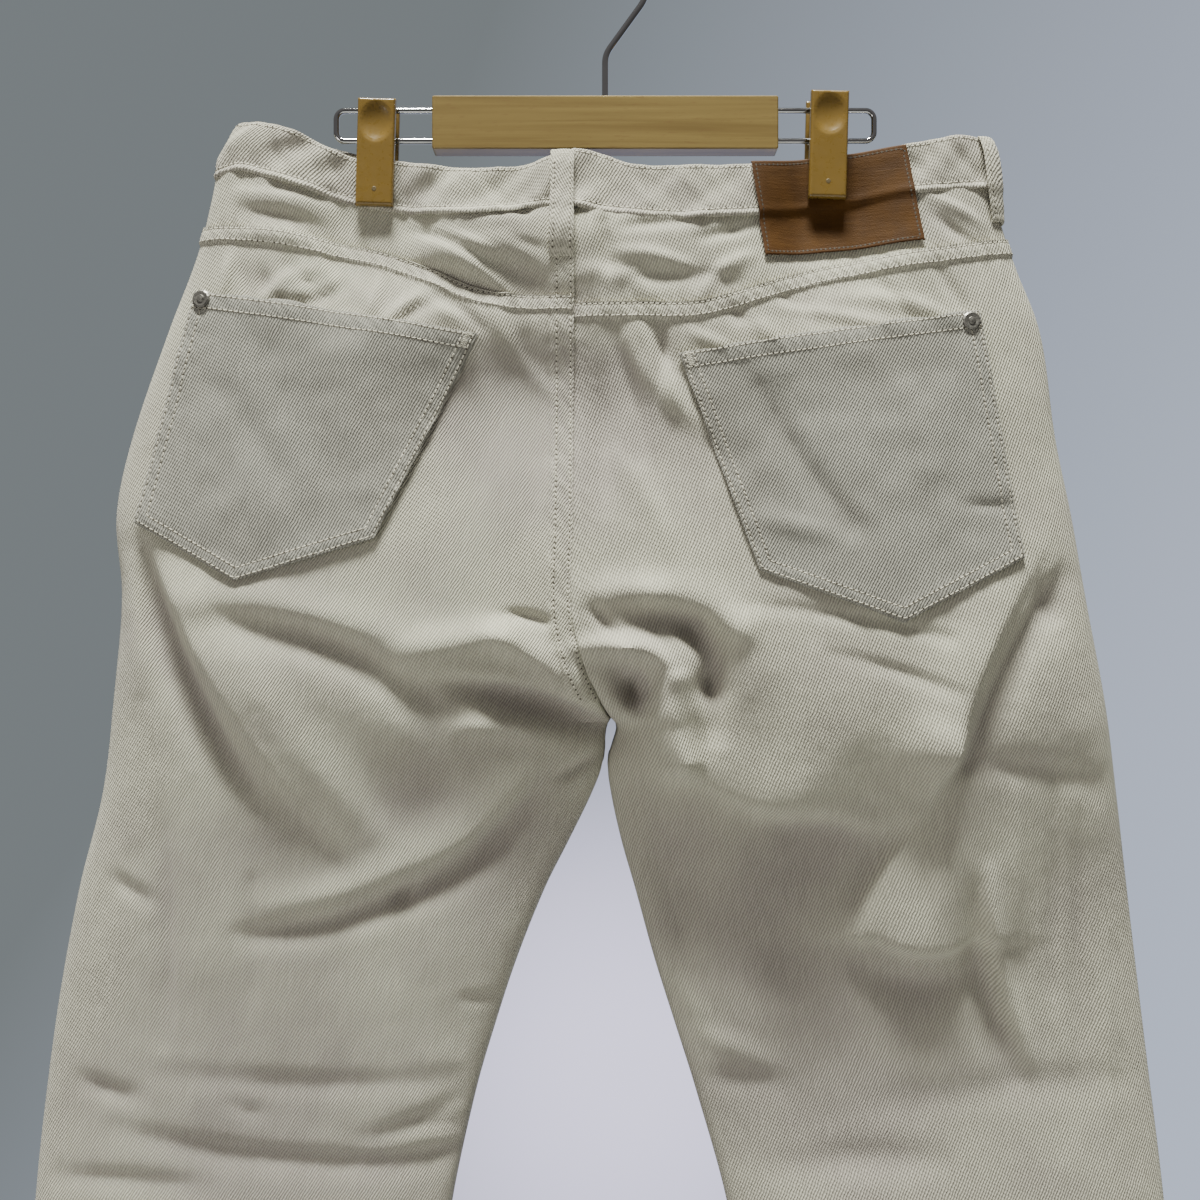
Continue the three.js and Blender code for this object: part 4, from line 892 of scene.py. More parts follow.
for side in FACING:
    turn = back_turns(side)
    v = spaced((0, 0.9, 0.03), (0.9, 1, 0.02))[:, None]
    band, bottom = band_edge(side, turn, "band"), yoke_edge(side, turn)
    z = mix(band + 3, bottom, v)
    base = cloth_at(side, turn, z)
    x = base[..., 0]
    lift = middle_fell(side, x, z, turn) + pucker(x, z - bottom, 41, 0.45, 10)
    lift += pucker(x, band - z, 43, 0.4, 9) - 0.35 * np.exp(-(z - bottom) / 3)
    face = raise_face(base, lift, FACING[side])
    far = middle_band(side, x, z, turn)[0]
    by_middle = inside(far, MIDDLE_FELL) * (side == "left") * (turn < 1)
    seam = np.maximum(0.5 * inside(z - bottom, 1), by_middle)
    place = unrolled(side, turn, z)
    yoke = make_shell("denim_yoke_" + side, face, WALL, FACING[side], place, crease_shade(base), seam=seam)
    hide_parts("yoke_" + side)
    shells["yoke_" + side] = yoke

    turn = spaced((SIDE_SEAM, FACING_END, 0.05))
    top = along(ACROSS_FRONT, "band_" + side, share(turn), "t") + 2
    z = mix(top, scoop_top(side, turn) - 14, spaced((0, 1, 0.05))[:, None])
    face = raise_face(cloth_at(side, turn, z), -2.1, FACING[side])
    place = unrolled(side, turn, z)
    shells["facing_" + side] = make_shell("denim_facing_" + side, face, 1.0, FACING[side], place)
    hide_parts("pocket_facing_" + side)


# Waistband: one doubled strip from the right end at the front, round the back, to the left end,
# which laps over the right. Its lower edge stands as a round cord over the yokes.
BAND_PROUD = 0.9
BAND_THICK = 2.4
BAND_ROWS = (("top", -2.2), ("band", 4.7))
LAP_START = 4.9
LAP_TURN = 0.8


def waist_strip():
    """Columns of (side, turn, lap) as the strip runs."""
    whole = spaced((SIDE_SEAM + 0.03, math.tau, 0.03))
    half = {side: np.concatenate([back_turns(side), whole]) for side in FACING}
    runs = [("right", half["right"][:0:-1], 0 * half["right"][:0:-1])]
    runs.append(("left", half["left"], smooth((half["left"] - LAP_START) / (math.tau - LAP_START))))
    lapped = spaced((math.tau - 0.04, math.tau - LAP_TURN, 0.03))
    runs.append(("right", lapped, np.ones_like(lapped)))
    return runs


v = spaced((0, 0.04, 0.013), (0.04, 0.88, 0.05), (0.88, 1, 0.02))[:, None]
parts, laps, downs = [], [], []
for side, turn, lap in waist_strip():
    top, bottom = band_edge(side, turn, "top"), band_edge(side, turn, "band")
    parts.append(cloth_at(side, turn, mix(top, bottom, v)))
    laps.append(lap * np.ones_like(v))
    downs.append((top - bottom) * v)
base, lap, down = (np.concatenate(columns, axis=1) for columns in (parts, laps, downs))
run = lengths(base[4])
up = down[-1] - down
lift = BAND_PROUD - 1.1 * np.exp(-down / 0.8) + grooves(down, [(2.2, 0.25)])
lift += 0.6 * bell(up - 1.8, 1.5) + grooves(up, [(4.6, 0.35)], 1.1) - 0.5 * np.exp(-up / 0.5)
lift += pucker(run, down, 51, 0.3, 9) + pucker(run, up, 53, 0.4, 14)
lift += 1.7 * noise(run + 0.9 * up, up * 0.6, 14, 55) + 0.5 * noise(run - 0.8 * up, up * 0.4, 7, 57)
face = raise_face(base, lift + lap * (BAND_THICK + 0.3), -1)
# painted shade over the whole band, in patches
wear_and_painted_shade = 0.32 + 0.25 * noise(run, up, 18, 59)
seam = 0.7 * np.maximum(inside(up, 4), inside(down, 1))
place = np.stack([-run + 0 * down, -down], -1)
shells["band"] = make_shell("denim_waistband", face, BAND_THICK, -1, place, wear_and_painted_shade, seam=seam)
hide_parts("waistband")


# Back pockets: patches of a cooler, greyer denim with a hemmed mouth and two rows of stitches. Each
# is laid on the seat between its corners, given as (x, z), with a point at its foot.
POCKETS = {
    "left": [(-71, -230.5), (-231, -205.5), (-261, -336), (-202.5, -369), (-126.5, -345.5)],
    "right": [(41, -241.5), (209, -217.5), (230, -356), (162.5, -391), (84, -363)],
}
POCKET_LIFT = 1.1
POCKET_WIDTH = 150
POCKET_LENGTH = 140
POCKET_ROWS = [(1.7, 0.22), (7.0, 0.26)]
MOUTH_ROWS = [(1.7, 0.22), (9.2, 0.3)]


def edge_distances(x, z, corners):
    """How far points lie from the line through each two corners, in the corners' order."""
    found = []
    for a, b in zip(corners, corners[1:] + corners[:1]):
        dx, dz = b[0] - a[0], b[1] - a[1]
        found.append(np.abs(dx * (z - a[1]) - dz * (x - a[0])) / math.hypot(dx, dz))
    return found


def laid_grid(corners, u, v):
    """Arrays of x and z between corners, with u across and v down; a fifth corner is the foot."""
    top_in, top_out, foot_out, *rest = (np.array(corner, float) for corner in corners)
    foot_in = rest[-1]
    u = u[:, None]
    low = mix(foot_in, foot_out, u)
    if len(rest) == 2:
        point = rest[0]
        reaches = [np.linalg.norm(point - foot) for foot in (foot_in, foot_out)]
        part = reaches[0] / sum(reaches)
        first = mix(foot_in, point, np.clip(u / part, 0, 1))
        low = np.where(u < part, first, mix(point, foot_out, np.clip((u - part) / (1 - part), 0, 1)))
    flat = mix(mix(top_in, top_out, u)[None], low[None], v[:, None, None])
    return flat[..., 0], flat[..., 1]


def on_back(side, x, z):
    return cloth_at(side, turn_at(side, x, z), z)


def edges_in(width, near=(0, 0.5, 1.1, 2.4, 5.6, 7.4, 9), step=2.4):
    """Shares across a piece, close together at both of its edges."""
    near, step = np.array(near) / width, step / width
    between = spaced((near[-1] + step, 1 - near[-1] - step, step))
    return np.concatenate([near, between, 1 - near[::-1]])


mouth = np.array([0, 0.5, 1.1, 2.4, 5.6, 8.6, 9.8, 11, 12.6]) / POCKET_LENGTH
foot = 1 - np.array([8.6, 7.4, 5.6, 3.6, 2.2, 1.1, 0.5, 0]) / POCKET_LENGTH
u, v = edges_in(POCKET_WIDTH), np.concatenate([mouth, spaced((0.11, 0.92, 0.018)), foot])
for side, corners in POCKETS.items():
    x, z = laid_grid(corners, u, v)
    down, *others = edge_distances(x, z, corners)
    in_from = np.minimum.reduce(others)
    lift = POCKET_LIFT + WALL + 2.0 * np.clip(in_from / 40, 0, 1) * inside(down, 0, 34)
    lift += 0.45 * inside(down, 9.6, 1.2) + grooves(down, MOUTH_ROWS)
    lift += 0.3 * inside(in_from, 8, 1.4) + grooves(in_from, POCKET_ROWS)
    lift -= 0.75 * np.exp(-in_from / 0.7) + 0.5 * np.exp(-down / 0.6)
    lift += pucker(x + z, in_from, 61, 0.45, 6) * np.minimum(in_from, 1)
    lift += 0.9 * noise(x, z, 30, 63) + 0.35 * noise(x, z, 11, 65)
    base = on_back(side, x, z)
    face = raise_face(base, lift, FACING[side])
    seam = 0.75 * np.maximum(inside(in_from, 7), inside(down, 9))
    looks = (crease_shade(base), POCKET_DENIM, seam)
    pocket = make_shell("denim_pocket_" + side, face, WALL, FACING[side], None, *looks)
    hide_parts("back_pocket_" + side)
    shells["pocket_" + side] = pocket


# Leather patch: bare tan leather across the band and yoke, darker along its sewn edges
def leather():
    material, tree = new_material("patch_leather")
    place = add_node(tree, "UVMap", uv_map="cloth").outputs[0]
    edge = add_node(tree, "Attribute", attribute_name="painted_shade_and_dark_edge").outputs["Fac"]
    cloudy = speckle(tree, place, 70, 5)
    scuff = speckle(tree, reckon_vector(tree, "MULTIPLY", place, (60, 700, 1)), 1, 4)
    grain = add_node(tree, "TexVoronoi", {"Vector": place, "Scale": 1700}).outputs["Distance"]
    clouds = ranged(tree, cloudy, 0.3, 0.72)
    tan = blend(tree, clouds, (0.052, 0.0205, 0.0018, 1), (0.082, 0.034, 0.0034, 1))
    wear_and_painted_shade = blend(tree, ranged(tree, scuff, 0.55, 0.8, 0, 0.35), tan, (0.11, 0.052, 0.009, 1))
    height = reckon(tree, "MULTIPLY_ADD", scuff, 1.5, grain)
    return finish_material(material, height, 0.00012, 0.7, {
        "Base Color": blend(tree, edge, wear_and_painted_shade, (0.07, 0.03, 0.012, 1)),
        "Roughness": ranged(tree, cloudy, 0, 1, 0.55, 0.8),
        "Specular IOR Level": 0.2,
    })


LEATHER = leather()
PATCH = [(82, -131), (171, -120.5), (180, -176.5), (89.5, -185)]
PATCH_ROW = 2.3
near = (0, 0.3, 0.8, 1.6, 3, 4.5)
x, z = laid_grid(PATCH, edges_in(90, near, 2), edges_in(56, near, 2))
in_from = np.minimum.reduce(edge_distances(x, z, PATCH))
over = z - band_edge("right", turn_at("right", x, z), "band")
lift = 2.5 + BAND_PROUD * smooth((over + 1) / 4) + 0.5 * bell(over - 1.5, 2.4)
lift += grooves(in_from, [(PATCH_ROW, 0.3)], 0.8) - 0.5 * np.exp(-in_from / 0.5)
face = raise_face(on_back("right", x, z), lift + 0.2 * noise(x, z, 12, 71), FACING["right"])
edge_dark = 0.85 * np.exp(-in_from / 0.7) + 0.35 * bell(in_from - PATCH_ROW, 1.1)
patch = make_shell("patch_leather", face, 1.3, FACING["right"], None, edge_dark, LEATHER)
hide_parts("leather_patch")
shells["patch"] = patch


# Belt loops: narrow doubled strips over the waistband, tacked down at both ends
LOOP_WIDTH = 13.5
LOOP_ROW = 4.6
LOOPS = [
    ("belt_loop_back", "left", 6.8, 63),
    ("belt_loop_side_left", "left", 243, 50),
    ("belt_loop_side_right", "right", 243, 50),
    ("belt_loop_front_left", "left", 365, 54),
    ("belt_loop_front_right", "right", 403, 54),
]


def round_waist(side):
    """Turns round half of the waist, and how far each is from the middle of the back."""
    turn = np.linspace(0, math.tau, 801)
    middle = (band_edge(side, turn, "top") + band_edge(side, turn, "band")) / 2
    return turn, lengths(cloth_at(side, turn, middle))


loop_lines = {}
for name, side, distance, long in LOOPS:
    turns, far = round_waist(side)
    across = np.array([-1, -0.94, -0.8, -0.68, -0.5, -0.2, 0, 0.2, 0.5, 0.68, 0.8, 0.94, 1])
    turn = np.interp(distance + across * LOOP_WIDTH / 2, far, turns)
    centre = np.interp(distance, far, turns)
    top = float(band_edge(side, centre, "top"))
    down = spaced((0, 3, 0.6), (3, long - 3, 2), (long - 3, long, 0.6))[:, None]
    z = top + 0.8 - down + 0 * turn
    on_band = smooth((z - band_edge(side, centre, "band") + 5) / 6)
    lapped = smooth((turn - LAP_START) / 1.4) * (side == "left") * (BAND_THICK + 0.3)
    lift = 2.2 + (BAND_PROUD + lapped) * on_band + 2.6 * np.sin(math.pi * (down / long)) ** 0.8
    lift -= 0.5 * (bell(down - 3.5, 3) + bell(long - down - 3.5, 3))
    lift -= 1.8 * np.exp(-down / 1.1) + 0.8 * np.exp(-(long - down) / 0.7)
    lift += 0.25 * bell(across, 0.3) - 0.6 * np.abs(across) ** 10
    lift += grooves(np.abs(across), [(0.68, 0.25)], 0.12)
    face = raise_face(cloth_at(side, turn, z), lift, FACING[side])
    place = np.stack([across * LOOP_WIDTH / 2 + 0 * down, -down + 0 * across], -1)
    loop = make_shell("denim_" + name, face, 1.5, FACING[side], place, seam=0.5)
    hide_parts(name)
    shells[name] = loop
    loop_lines[name] = (side, distance, top, long)


# Fly: the stitched lap on the left front, with a round lower end
FLY_LAP = 5
FLY_WIDTH = 36
FLY_LENGTH = 152
FLY_ROWS = (1.8, 7.2)
u, v = spaced((0, 1, 0.07)), np.concatenate([[0, 0.01], spaced((0.03, 1, 0.03))])[:, None]
fly_top = float(along(ACROSS_FRONT, "band_left", 0.03, "t")) + 2
z = fly_top - v * FLY_LENGTH + 0 * u
middle = along(MIDDLE, "front", z)
x = middle + FLY_LAP - u * FLY_WIDTH * np.sqrt(1 - np.clip((v - 0.78) / 0.22, 0, 0.985) ** 2)
halves = [cloth_at(side, turn_at(side, x, z, True), z) for side in ("right", "left")]
base = np.where((x > middle)[..., None], *halves)
face = raise_face(base, 2.2 - 0.5 * np.exp(-(middle + FLY_LAP - x) / 0.8))
shells["fly"] = make_shell("denim_fly", face, WALL, 1)
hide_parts("fly")


# Stitches: rows of separate raised threads, the colour of the cloth, laid on the finished shells,
# with a small dark disc of painted shade for the needle hole between each two. Corners and loop
# ends have short dense tacks.
def thread(name, color):
    material, tree = new_material(name)
    place = add_node(tree, "TexCoord").outputs["Object"]
    patchy = ranged(tree, speckle(tree, place, 55, 3), 0.3, 0.7, 0.82, 1.08)
    return finish_material(material, speckle(tree, place, 3500, 2), 0.00008, 1.0, {
        "Base Color": reckon_vector(tree, "SCALE", color, patchy),
        "Roughness": 0.75,
    })


THREAD = thread("cotton_thread", (0.58, 0.56, 0.46))
LEATHER_THREAD = thread("tan_thread", (0.06, 0.03, 0.01))
# a dark finish for the discs of painted shade at the needle holes
HOLE_SHADE = thread("needle_hole_shade", (0.07, 0.06, 0.045))
HOLE_RADIUS = 0.6
HOLE_PROUD = 0.06
SUNK = 0.05
THREAD_CORNERS = 6
SHORT_STITCHES = {"pitch": 2.1, "long": 2.1, "thick": 0.5, "hole_shades": False, "slant": 0}


def tree_of(pieces):
    """A search tree of the shells, to lay things on."""
    points, faces = [], []
    for piece in pieces:
        faces += [[i + len(points) for i in polygon.vertices] for polygon in piece.data.polygons]
        points += [vertex.co.copy() for vertex in piece.data.vertices]
    return BVHTree.FromPolygons(points, faces)


PANELS = ("back_", "front_", "yoke_", "band")
on_panels = tree_of(piece for key, piece in shells.items() if key.startswith(PANELS))


def outward(side, turn, z):
    """Unit normals out of the uncreased cloth."""
    across = cloth_at(side, turn + 0.04, z, False) - cloth_at(side, turn - 0.04, z, False)
    down = cloth_at(side, turn, z - 2, False) - cloth_at(side, turn, z + 2, False)
    normals = np.cross(down, across) * FACING[side]
    return normals / np.linalg.norm(normals, axis=-1, keepdims=True)


def seam_line(side, turn, z):
    """A dense line on the cloth, with the way out of it."""
    turn, z = np.broadcast_arrays(np.asarray(turn, float), np.asarray(z, float))
    return cloth_at(side, turn, z), outward(side, turn, z)


def flat_line(side, corners, count=240):
    """A dense line through corners (x, z) on the back."""
    corners = np.array(corners, float)
    far = lengths(corners)
    at = np.linspace(0, far[-1], count)
    x, z = np.interp(at, far, corners[:, 0]), np.interp(at, far, corners[:, 1])
    return seam_line(side, turn_at(side, x, z), z)


def place_stitches(lines, pitch, on_piece):
    """Where each stitch lies: its middle, its way along and its way out, from dense lines."""
    placed = []
    for points, out in lines:
        far = lengths(points)
        count = max(1, int(far[-1] / pitch))
        at = (np.arange(count + 1) + 0.5) * far[-1] / (count + 1)
        laid = []
        for a in at:
            start = Vector([np.interp(a, far, points[:, k]) for k in range(3)]) * MM
            away = Vector([np.interp(a, far, out[:, k]) for k in range(3)]).normalized()
            found, normal, _, _ = on_piece.ray_cast(start + away * 16 * MM, -away, 30 * MM)
            laid.append((found, normal if normal is None or normal.dot(away) > 0 else -normal))
        for k, (found, normal) in enumerate(laid):
            before, after = laid[max(k - 1, 0)][0], laid[min(k + 1, len(laid) - 1)][0]
            if found and before and after and (after - before).length > 1e-5:
                placed.append((found, (after - before).normalized(), normal))
    return placed


def make_stitches(
    name, lines, on_piece, pitch=3.2, long=2.4, thick=0.78, material=THREAD, hole_shades=True, slant=0.1
):
    """One object of many threads: each is a short rounded strand, sunk a little into the cloth, and may
    be followed by a small dark disc of painted shade for its needle hole.
    """
    rings = [(-1, 0.45), (-0.7, 0.95), (0.7, 0.95), (1, 0.45)]
    count = THREAD_CORNERS
    corners = [math.tau * (k + 0.5) / count for k in range(count)]
    points, faces, kinds = [], [], []
    for k, (middle, along_row, normal) in enumerate(place_stitches(lines, pitch, on_piece)):
        side_way = normal.cross(along_row).normalized()
        run = (along_row + side_way * slant * (1 if k % 2 else 0.6)).normalized()
        side_way = normal.cross(run).normalized()
        start = len(points)
        for along_ring, width in rings:
            raised = (0.12 - 0.16 * abs(along_ring)) * thick - SUNK
            centre = middle + (run * along_ring * long / 2 + normal * raised) * MM
            for angle in corners:
                spread = side_way * math.cos(angle) + normal * 0.8 * math.sin(angle)
                points.append(centre + spread * width * thick / 2 * MM)
        for ring in range(start, start + 3 * count, count):
            for c in range(count):
                a, b = ring + c, ring + (c + 1) % count
                faces.append((a, b, b + count, a + count))
        faces.append(tuple(range(start + count - 1, start - 1, -1)))
        faces.append(tuple(range(start + 3 * count, start + 4 * count)))
        kinds += [0] * (len(faces) - len(kinds))
        # a flat dark disc, raised just off the cloth: painted shade for the needle hole
        if hole_shades:
            at = middle + (run * pitch / 2 + normal * HOLE_PROUD) * MM
            faces.append(tuple(range(len(points), len(points) + count)))
            for angle in corners:
                spread = side_way * math.cos(angle) + run * math.sin(angle)
                points.append(at + spread * HOLE_RADIUS * MM)
            kinds.append(1)
    mesh = bpy.data.meshes.new(name)
    mesh.from_pydata(points, [], faces)
    made = add_piece(name, mesh, material, HOLE_SHADE)
    mesh.polygons.foreach_set("material_index", kinds)
    mesh.shade_smooth()


def inset(corners, distances):
    """The corners of a shape (x, z) after each of its edges has moved in by its distance."""
    corners = np.array(corners, float)
    nexts = np.roll(corners, -1, axis=0)
    turn_way = np.sign(np.sum(corners[:, 0] * nexts[:, 1] - nexts[:, 0] * corners[:, 1]))
    edges = []
    for a, b, distance in zip(corners, nexts, distances):
        way = (b - a) / np.linalg.norm(b - a)
        edges.append((a + turn_way * distance * np.array([-way[1], way[0]]), way))
    moved = []
    for k in range(len(corners)):
        (p, d), (q, e) = edges[k - 1], edges[k]
        moved.append(p + d * np.cross(q - p, e) / np.cross(d, e))
    return moved


def tack(side, x, z, angle, long=9, wide=1.9, step=0.5):
    """The zigzag of a bar tack on the back, as lines of two points."""
    steps = np.arange(int(long / step) + 1)
    away, across = steps * step - long / 2, np.where(steps % 2, wide / 2, -wide / 2)
    c, s = math.cos(angle), math.sin(angle)
    x, z = x + away * c - across * s, z + away * s + across * c
    pairs = [slice(k, k + 2) for k in range(len(steps) - 1)]
    return [seam_line(side, turn_at(side, x[pair], z[pair]), z[pair]) for pair in pairs]


seams, waist_rows, hem_rows, front_rows = [], [], [], []
for side in FACING:
    turn = np.linspace(from_middle(1.0), SIDE_SEAM - 0.02, 300)
    seams += [seam_line(side, turn, yoke_edge(side, turn) - drop) for drop, _ in YOKE_ROWS]
    turn = np.linspace(0.02, math.tau - 0.05, 600)
    for near, drop in BAND_ROWS:
        waist_rows.append(seam_line(side, turn, band_edge(side, turn, near) + drop))
    turn = np.linspace(0.05, math.tau - 0.05, 300)
    hem_rows += [seam_line(side, turn, HEM + up) for up, _ in HEM_ROWS]
    turn = np.linspace(SIDE_SEAM + 0.02, 5.1, 160)
    front_rows += [seam_line(side, turn, scoop_top(side, turn) - drop) for drop, _ in SCOOP_ROWS]
z = np.linspace(-160, CROTCH + 14, 300)
for far, _ in MIDDLE_ROWS:
    seams.append(seam_line("left", turn_at("left", along(MIDDLE, "back", z) - far, z), z))
v = np.linspace(0, 1, 120)
z = fly_top - 4 - v * (FLY_LENGTH - 6)
middle = along(MIDDLE, "front", z)
for row in FLY_ROWS:
    round_end = np.sqrt(1 - np.clip((v - 0.76) / 0.24, 0, 0.99) ** 2)
    x = np.minimum(middle + FLY_LAP - (FLY_WIDTH - row) * round_end, middle - 1)
    front_rows.append(seam_line("left", turn_at("left", x, z, True), z))
make_stitches("stitches_seams", seams, on_panels)
make_stitches("stitches_waistband", waist_rows, on_panels)
make_stitches("stitches_hems", hem_rows, on_panels)
fronts = tree_of([shells["fly"], shells["front_left"], shells["front_right"]])
make_stitches("stitches_front", front_rows, fronts)
for side, corners in POCKETS.items():
    rows = []
    for row, _ in POCKET_ROWS:
        p = inset(corners, [0.9] + [row] * 4)
        rows.append(flat_line(side, [p[0], *p[:0:-1]]))
    for row, _ in MOUTH_ROWS:
        p = inset(corners, [row] + [POCKET_ROWS[0][0]] * 4)
        rows.append(flat_line(side, p[:2]))
    on_pocket = tree_of([shells["pocket_" + side]])
    make_stitches("stitches_pocket_" + side, rows, on_pocket)
    x, z = inset(corners, [4.6] + [4.3] * 4)[0]
    slope = math.atan2(corners[4][1] - corners[0][1], corners[4][0] - corners[0][0])
    short = {**SHORT_STITCHES, "pitch": 2, "long": 2.0}
    make_stitches("tack_pocket_" + side, tack(side, x, z, slope), on_pocket, **short)
p = inset(PATCH, [PATCH_ROW] * 4)
patch_row = flat_line("right", p + p[:1])
make_stitches("stitches_patch", [patch_row], tree_of([patch]), 2.6, 1.9, 0.5, LEATHER_THREAD)
for name, (side, distance, top_z, long) in loop_lines.items():
    turns, far = round_waist(side)
    rows, tacks = [], []
    z = np.linspace(top_z - 3, top_z - long + 2, 60)
    for offset in (-LOOP_ROW, LOOP_ROW):
        rows.append(seam_line(side, np.interp(distance + offset, far, turns), z))
    for drop in (3.2, long - 3.6):
        steps = np.arange(22)
        turn = np.interp(distance + (steps / 21 - 0.5) * 11, far, turns)
        z = top_z - drop + np.where(steps % 2, 1.0, -1.0)
        tacks += [seam_line(side, turn[i:i + 2], z[i:i + 2]) for i in range(21)]
    on_loop = tree_of([shells[name]])
    make_stitches("stitches_" + name, rows, on_loop)
    make_stitches("tacks_" + name, tacks, on_loop, **SHORT_STITCHES)


# Hanger, of varnished beech, chromed wire and smooth tan clips. The wires follow the solids' own
# paths; each clip's leaf is remodelled with its thumb dish, softened edges and a small pin.
def beech():
    material, tree = new_material("bar_wood")
    place = add_node(tree, "TexCoord").outputs["Object"]
    along_grain = reckon_vector(tree, "MULTIPLY", place, (7, 260, 260))
    rings = speckle(tree, along_grain, 1, 6, Distortion=0.4)
    flecks = speckle(tree, reckon_vector(tree, "MULTIPLY", place, (130, 900, 900)), 1, 2)
    grain = ranged(tree, rings, 0.3, 0.7)
    wood = blend(tree, grain, (0.15, 0.097, 0.022, 1), (0.24, 0.17, 0.048, 1))
    dark = ranged(tree, flecks, 0.62, 0.72, 0, 0.45)
    return finish_material(material, rings, 0.0001, 0.5, {
        "Base Color": blend(tree, dark, wood, (0.16, 0.09, 0.025, 1)),
        "Roughness": 0.42,
        "Coat Weight": 0.25,
        "Coat Roughness": 0.2,
    })


def smooth_finish(name, color, metallic, rough, spread=0.08, scale=300.0, coat=0.0):
    """A smooth finish whose roughness and tone vary a little with wear."""
    material, tree = new_material(name)
    place = add_node(tree, "TexCoord").outputs["Object"]
    wear = speckle(tree, place, scale, 4)
    broad = ranged(tree, speckle(tree, place, scale / 8, 2), 0.3, 0.7, 0.9, 1.08)
    return finish_material(material, wear, 0.00003, 0.4, {
        "Base Color": reckon_vector(tree, "SCALE", color, broad),
        "Roughness": ranged(tree, wear, 0.3, 0.7, rough - spread, rough + spread),
        "Metallic": metallic,
        "Coat Weight": coat,
    })


CHROME = smooth_finish("hanger_wire", (0.50, 0.51, 0.52), 1.0, 0.07, 0.03)
TAN = smooth_finish("clip_tan", (0.18, 0.112, 0.023), 0.0, 0.3, 0.06, coat=0.3)
STEEL = smooth_finish("worn_steel", (0.20, 0.195, 0.18), 0.9, 0.45, 0.12, 900.0)
PIN = smooth_finish("clip_pin", (0.12, 0.09, 0.04), 0.2, 0.5)


def dress(node, material):
    """Give a carried-over node its material."""
    for slot in bpy.data.objects[node].material_slots:
        slot.material = material


def tube(name, points, radius, node):
    """A round wire along points (x, z) in the hanger's plane."""
    curve = bpy.data.curves.new(name, "CURVE")
    curve.dimensions = "3D"
    curve.bevel_depth = radius * MM
    curve.bevel_resolution = 4
    curve.use_fill_caps = True
    spline = curve.splines.new("POLY")
    spline.points.add(len(points) - 1)
    for point, (x, z) in zip(spline.points, points):
        point.co = (x * MM, 0, z * MM, 1)
    made = add_piece(name, curve, CHROME)
    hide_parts(node)


BAR_MIDDLE = -90.5 - 30.5 / 2
BAIL_START = 88.0
BAIL_REACH = 155
BAIL_HALF = 8.75
BAIL_CORNER = 5
BAIL_RADIUS = 1.7
dress("hanger_bar", beech())
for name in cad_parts:
    if name.startswith(("rivet_", "button")):
        dress(name, STEEL)
upper = [(BAIL_START, BAIL_HALF)]
for angle in np.radians(range(90, -1, -10)):
    x = BAIL_REACH - BAIL_CORNER + BAIL_CORNER * math.cos(angle)
    upper.append((x, BAIL_HALF - BAIL_CORNER + BAIL_CORNER * math.sin(angle)))
bail = upper + [(x, -z) for x, z in reversed(upper)]
for side, sign in FACING.items():
    points = [(sign * x, z + BAR_MIDDLE) for x, z in bail]
    tube("bail_wire_" + side, points, BAIL_RADIUS, "clip_bail_" + side)

# The hook: a straight shank, a bend out of it, and most of a circle to a rounded tip
HOOK_RADIUS = 1.9
HOOK_BEND = 24.6
lean, tip, corner = math.radians(36), math.radians(200), 5
centre = HOOK_RADIUS - HOOK_BEND
touch = (HOOK_BEND * math.cos(lean), centre - HOOK_BEND * math.sin(lean))
corner_z = touch[1] - touch[0] / math.tan(lean)
points = [(0, -101.5), (0, corner_z - corner)]
for u in np.arange(1, 9) / 8:
    down, up = (1 - u) ** 2 * -corner, u**2 * corner
    points.append((up * math.sin(lean), corner_z + down + up * math.cos(lean)))
for angle in np.linspace(-lean, tip, 72):
    points.append((HOOK_BEND * math.cos(angle), centre + HOOK_BEND * math.sin(angle)))
tube("hook_wire", points, HOOK_RADIUS, "hook")

# The clips' leaves, and in each a pin, which rides with its leaf
LEAF_WIDTH = 21.5
LEAF_LENGTH = 61.0
LEAF_DEPTH = 5.0
LEAF_ROUND = 1.5
LEAF_LEAN = math.radians(1.6)
DISH_UP = LEAF_LENGTH / 2 - 13.5
PIN_DOWN = 21.5
PIN_RADIUS = 1.3
PIN_SIDES = 24
PIN_LEVELS = [(1.0, 4.6), (1.0, 5.02), (0.86, 5.12)]


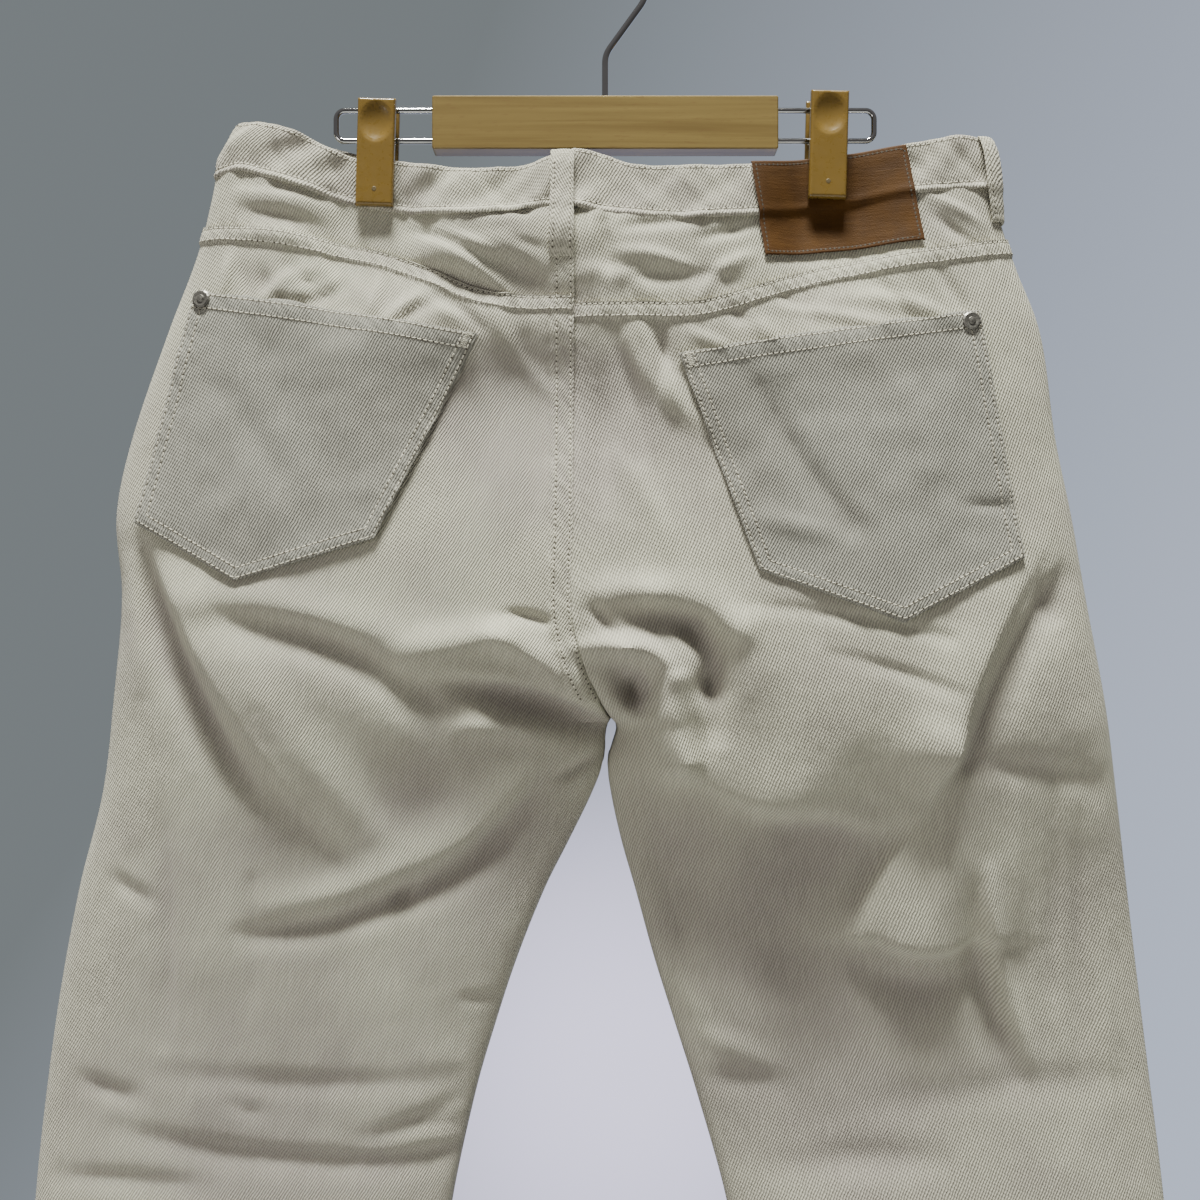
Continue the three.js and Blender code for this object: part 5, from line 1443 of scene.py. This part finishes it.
def clip_leaf(name, node, side, sign):
    """A leaf between its node's own corners, with a dish for the thumb, leaning as the node does."""
    low, high = (np.array(corner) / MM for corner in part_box(node))
    inner = (high if sign < 0 else low)[1]
    centre_x, centre_z = CLIP_X[side], (low[2] + high[2]) / 2
    u, v = np.meshgrid(np.linspace(-1, 1, 41), np.linspace(-1, 1, 101))
    x, z = u * LEAF_WIDTH / 2, v * LEAF_LENGTH / 2
    from_edge = np.minimum(LEAF_WIDTH / 2 - np.abs(x), LEAF_LENGTH / 2 - np.abs(z))
    rounded = LEAF_ROUND * (1 - np.sqrt(1 - np.clip(1 - from_edge / LEAF_ROUND, 0, 1) ** 2))
    away = np.hypot(x / 8.2, (z - DISH_UP) / 10.0)
    dish = 1.9 * np.clip(1 - away**2, 0, 1) ** 0.6 + 0.35 * bell(away - 1.04, 0.1)
    c, s = math.cos(LEAF_LEAN), math.sin(LEAF_LEAN)
    grid = lambda y: np.stack([centre_x + x * c + z * s, inner + sign * y, centre_z - x * s + z * c], -1)
    outer = grid(LEAF_DEPTH - rounded - dish * smooth((z + 5) / 3))
    points, faces = closed_sheet(outer, grid(np.minimum(rounded, 1.0) * 0.6), sign)
    mesh = bpy.data.meshes.new(name)
    mesh.from_pydata(points, [], faces)
    shade_mesh(mesh, 60)
    made = add_piece(name, mesh, TAN)
    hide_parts(node)
    centre_x, centre_z = centre_x - 21 * s, centre_z - PIN_DOWN
    points, faces = [], []
    for wide, y in PIN_LEVELS:
        for k in range(PIN_SIDES):
            px, pz = (wide * PIN_RADIUS * f(k / PIN_SIDES * math.tau) for f in (math.cos, math.sin))
            points.append(((centre_x + px) * MM, (inner + sign * y) * MM, (centre_z + pz) * MM))
    for start in range(0, 2 * PIN_SIDES, PIN_SIDES):
        for k in range(PIN_SIDES):
            a, b = start + k, start + (k + 1) % PIN_SIDES
            faces.append((a, b, b + PIN_SIDES, a + PIN_SIDES))
    faces += [tuple(range(2 * PIN_SIDES, 3 * PIN_SIDES)), tuple(reversed(range(PIN_SIDES)))]
    pin = bpy.data.meshes.new(name + "_pin")
    pin.from_pydata(points, [], faces)
    pin.materials.append(PIN)
    dot = bpy.data.objects.new(name + "_pin", pin)
    scene.collection.objects.link(dot)
    dot.parent = made


for side in FACING:
    clip_leaf("clip_leaf_back_" + side, "clip_back_" + side, side, -1)
    clip_leaf("clip_leaf_front_" + side, "clip_front_" + side, side, 1)
    dress("clip_core_" + side, TAN)
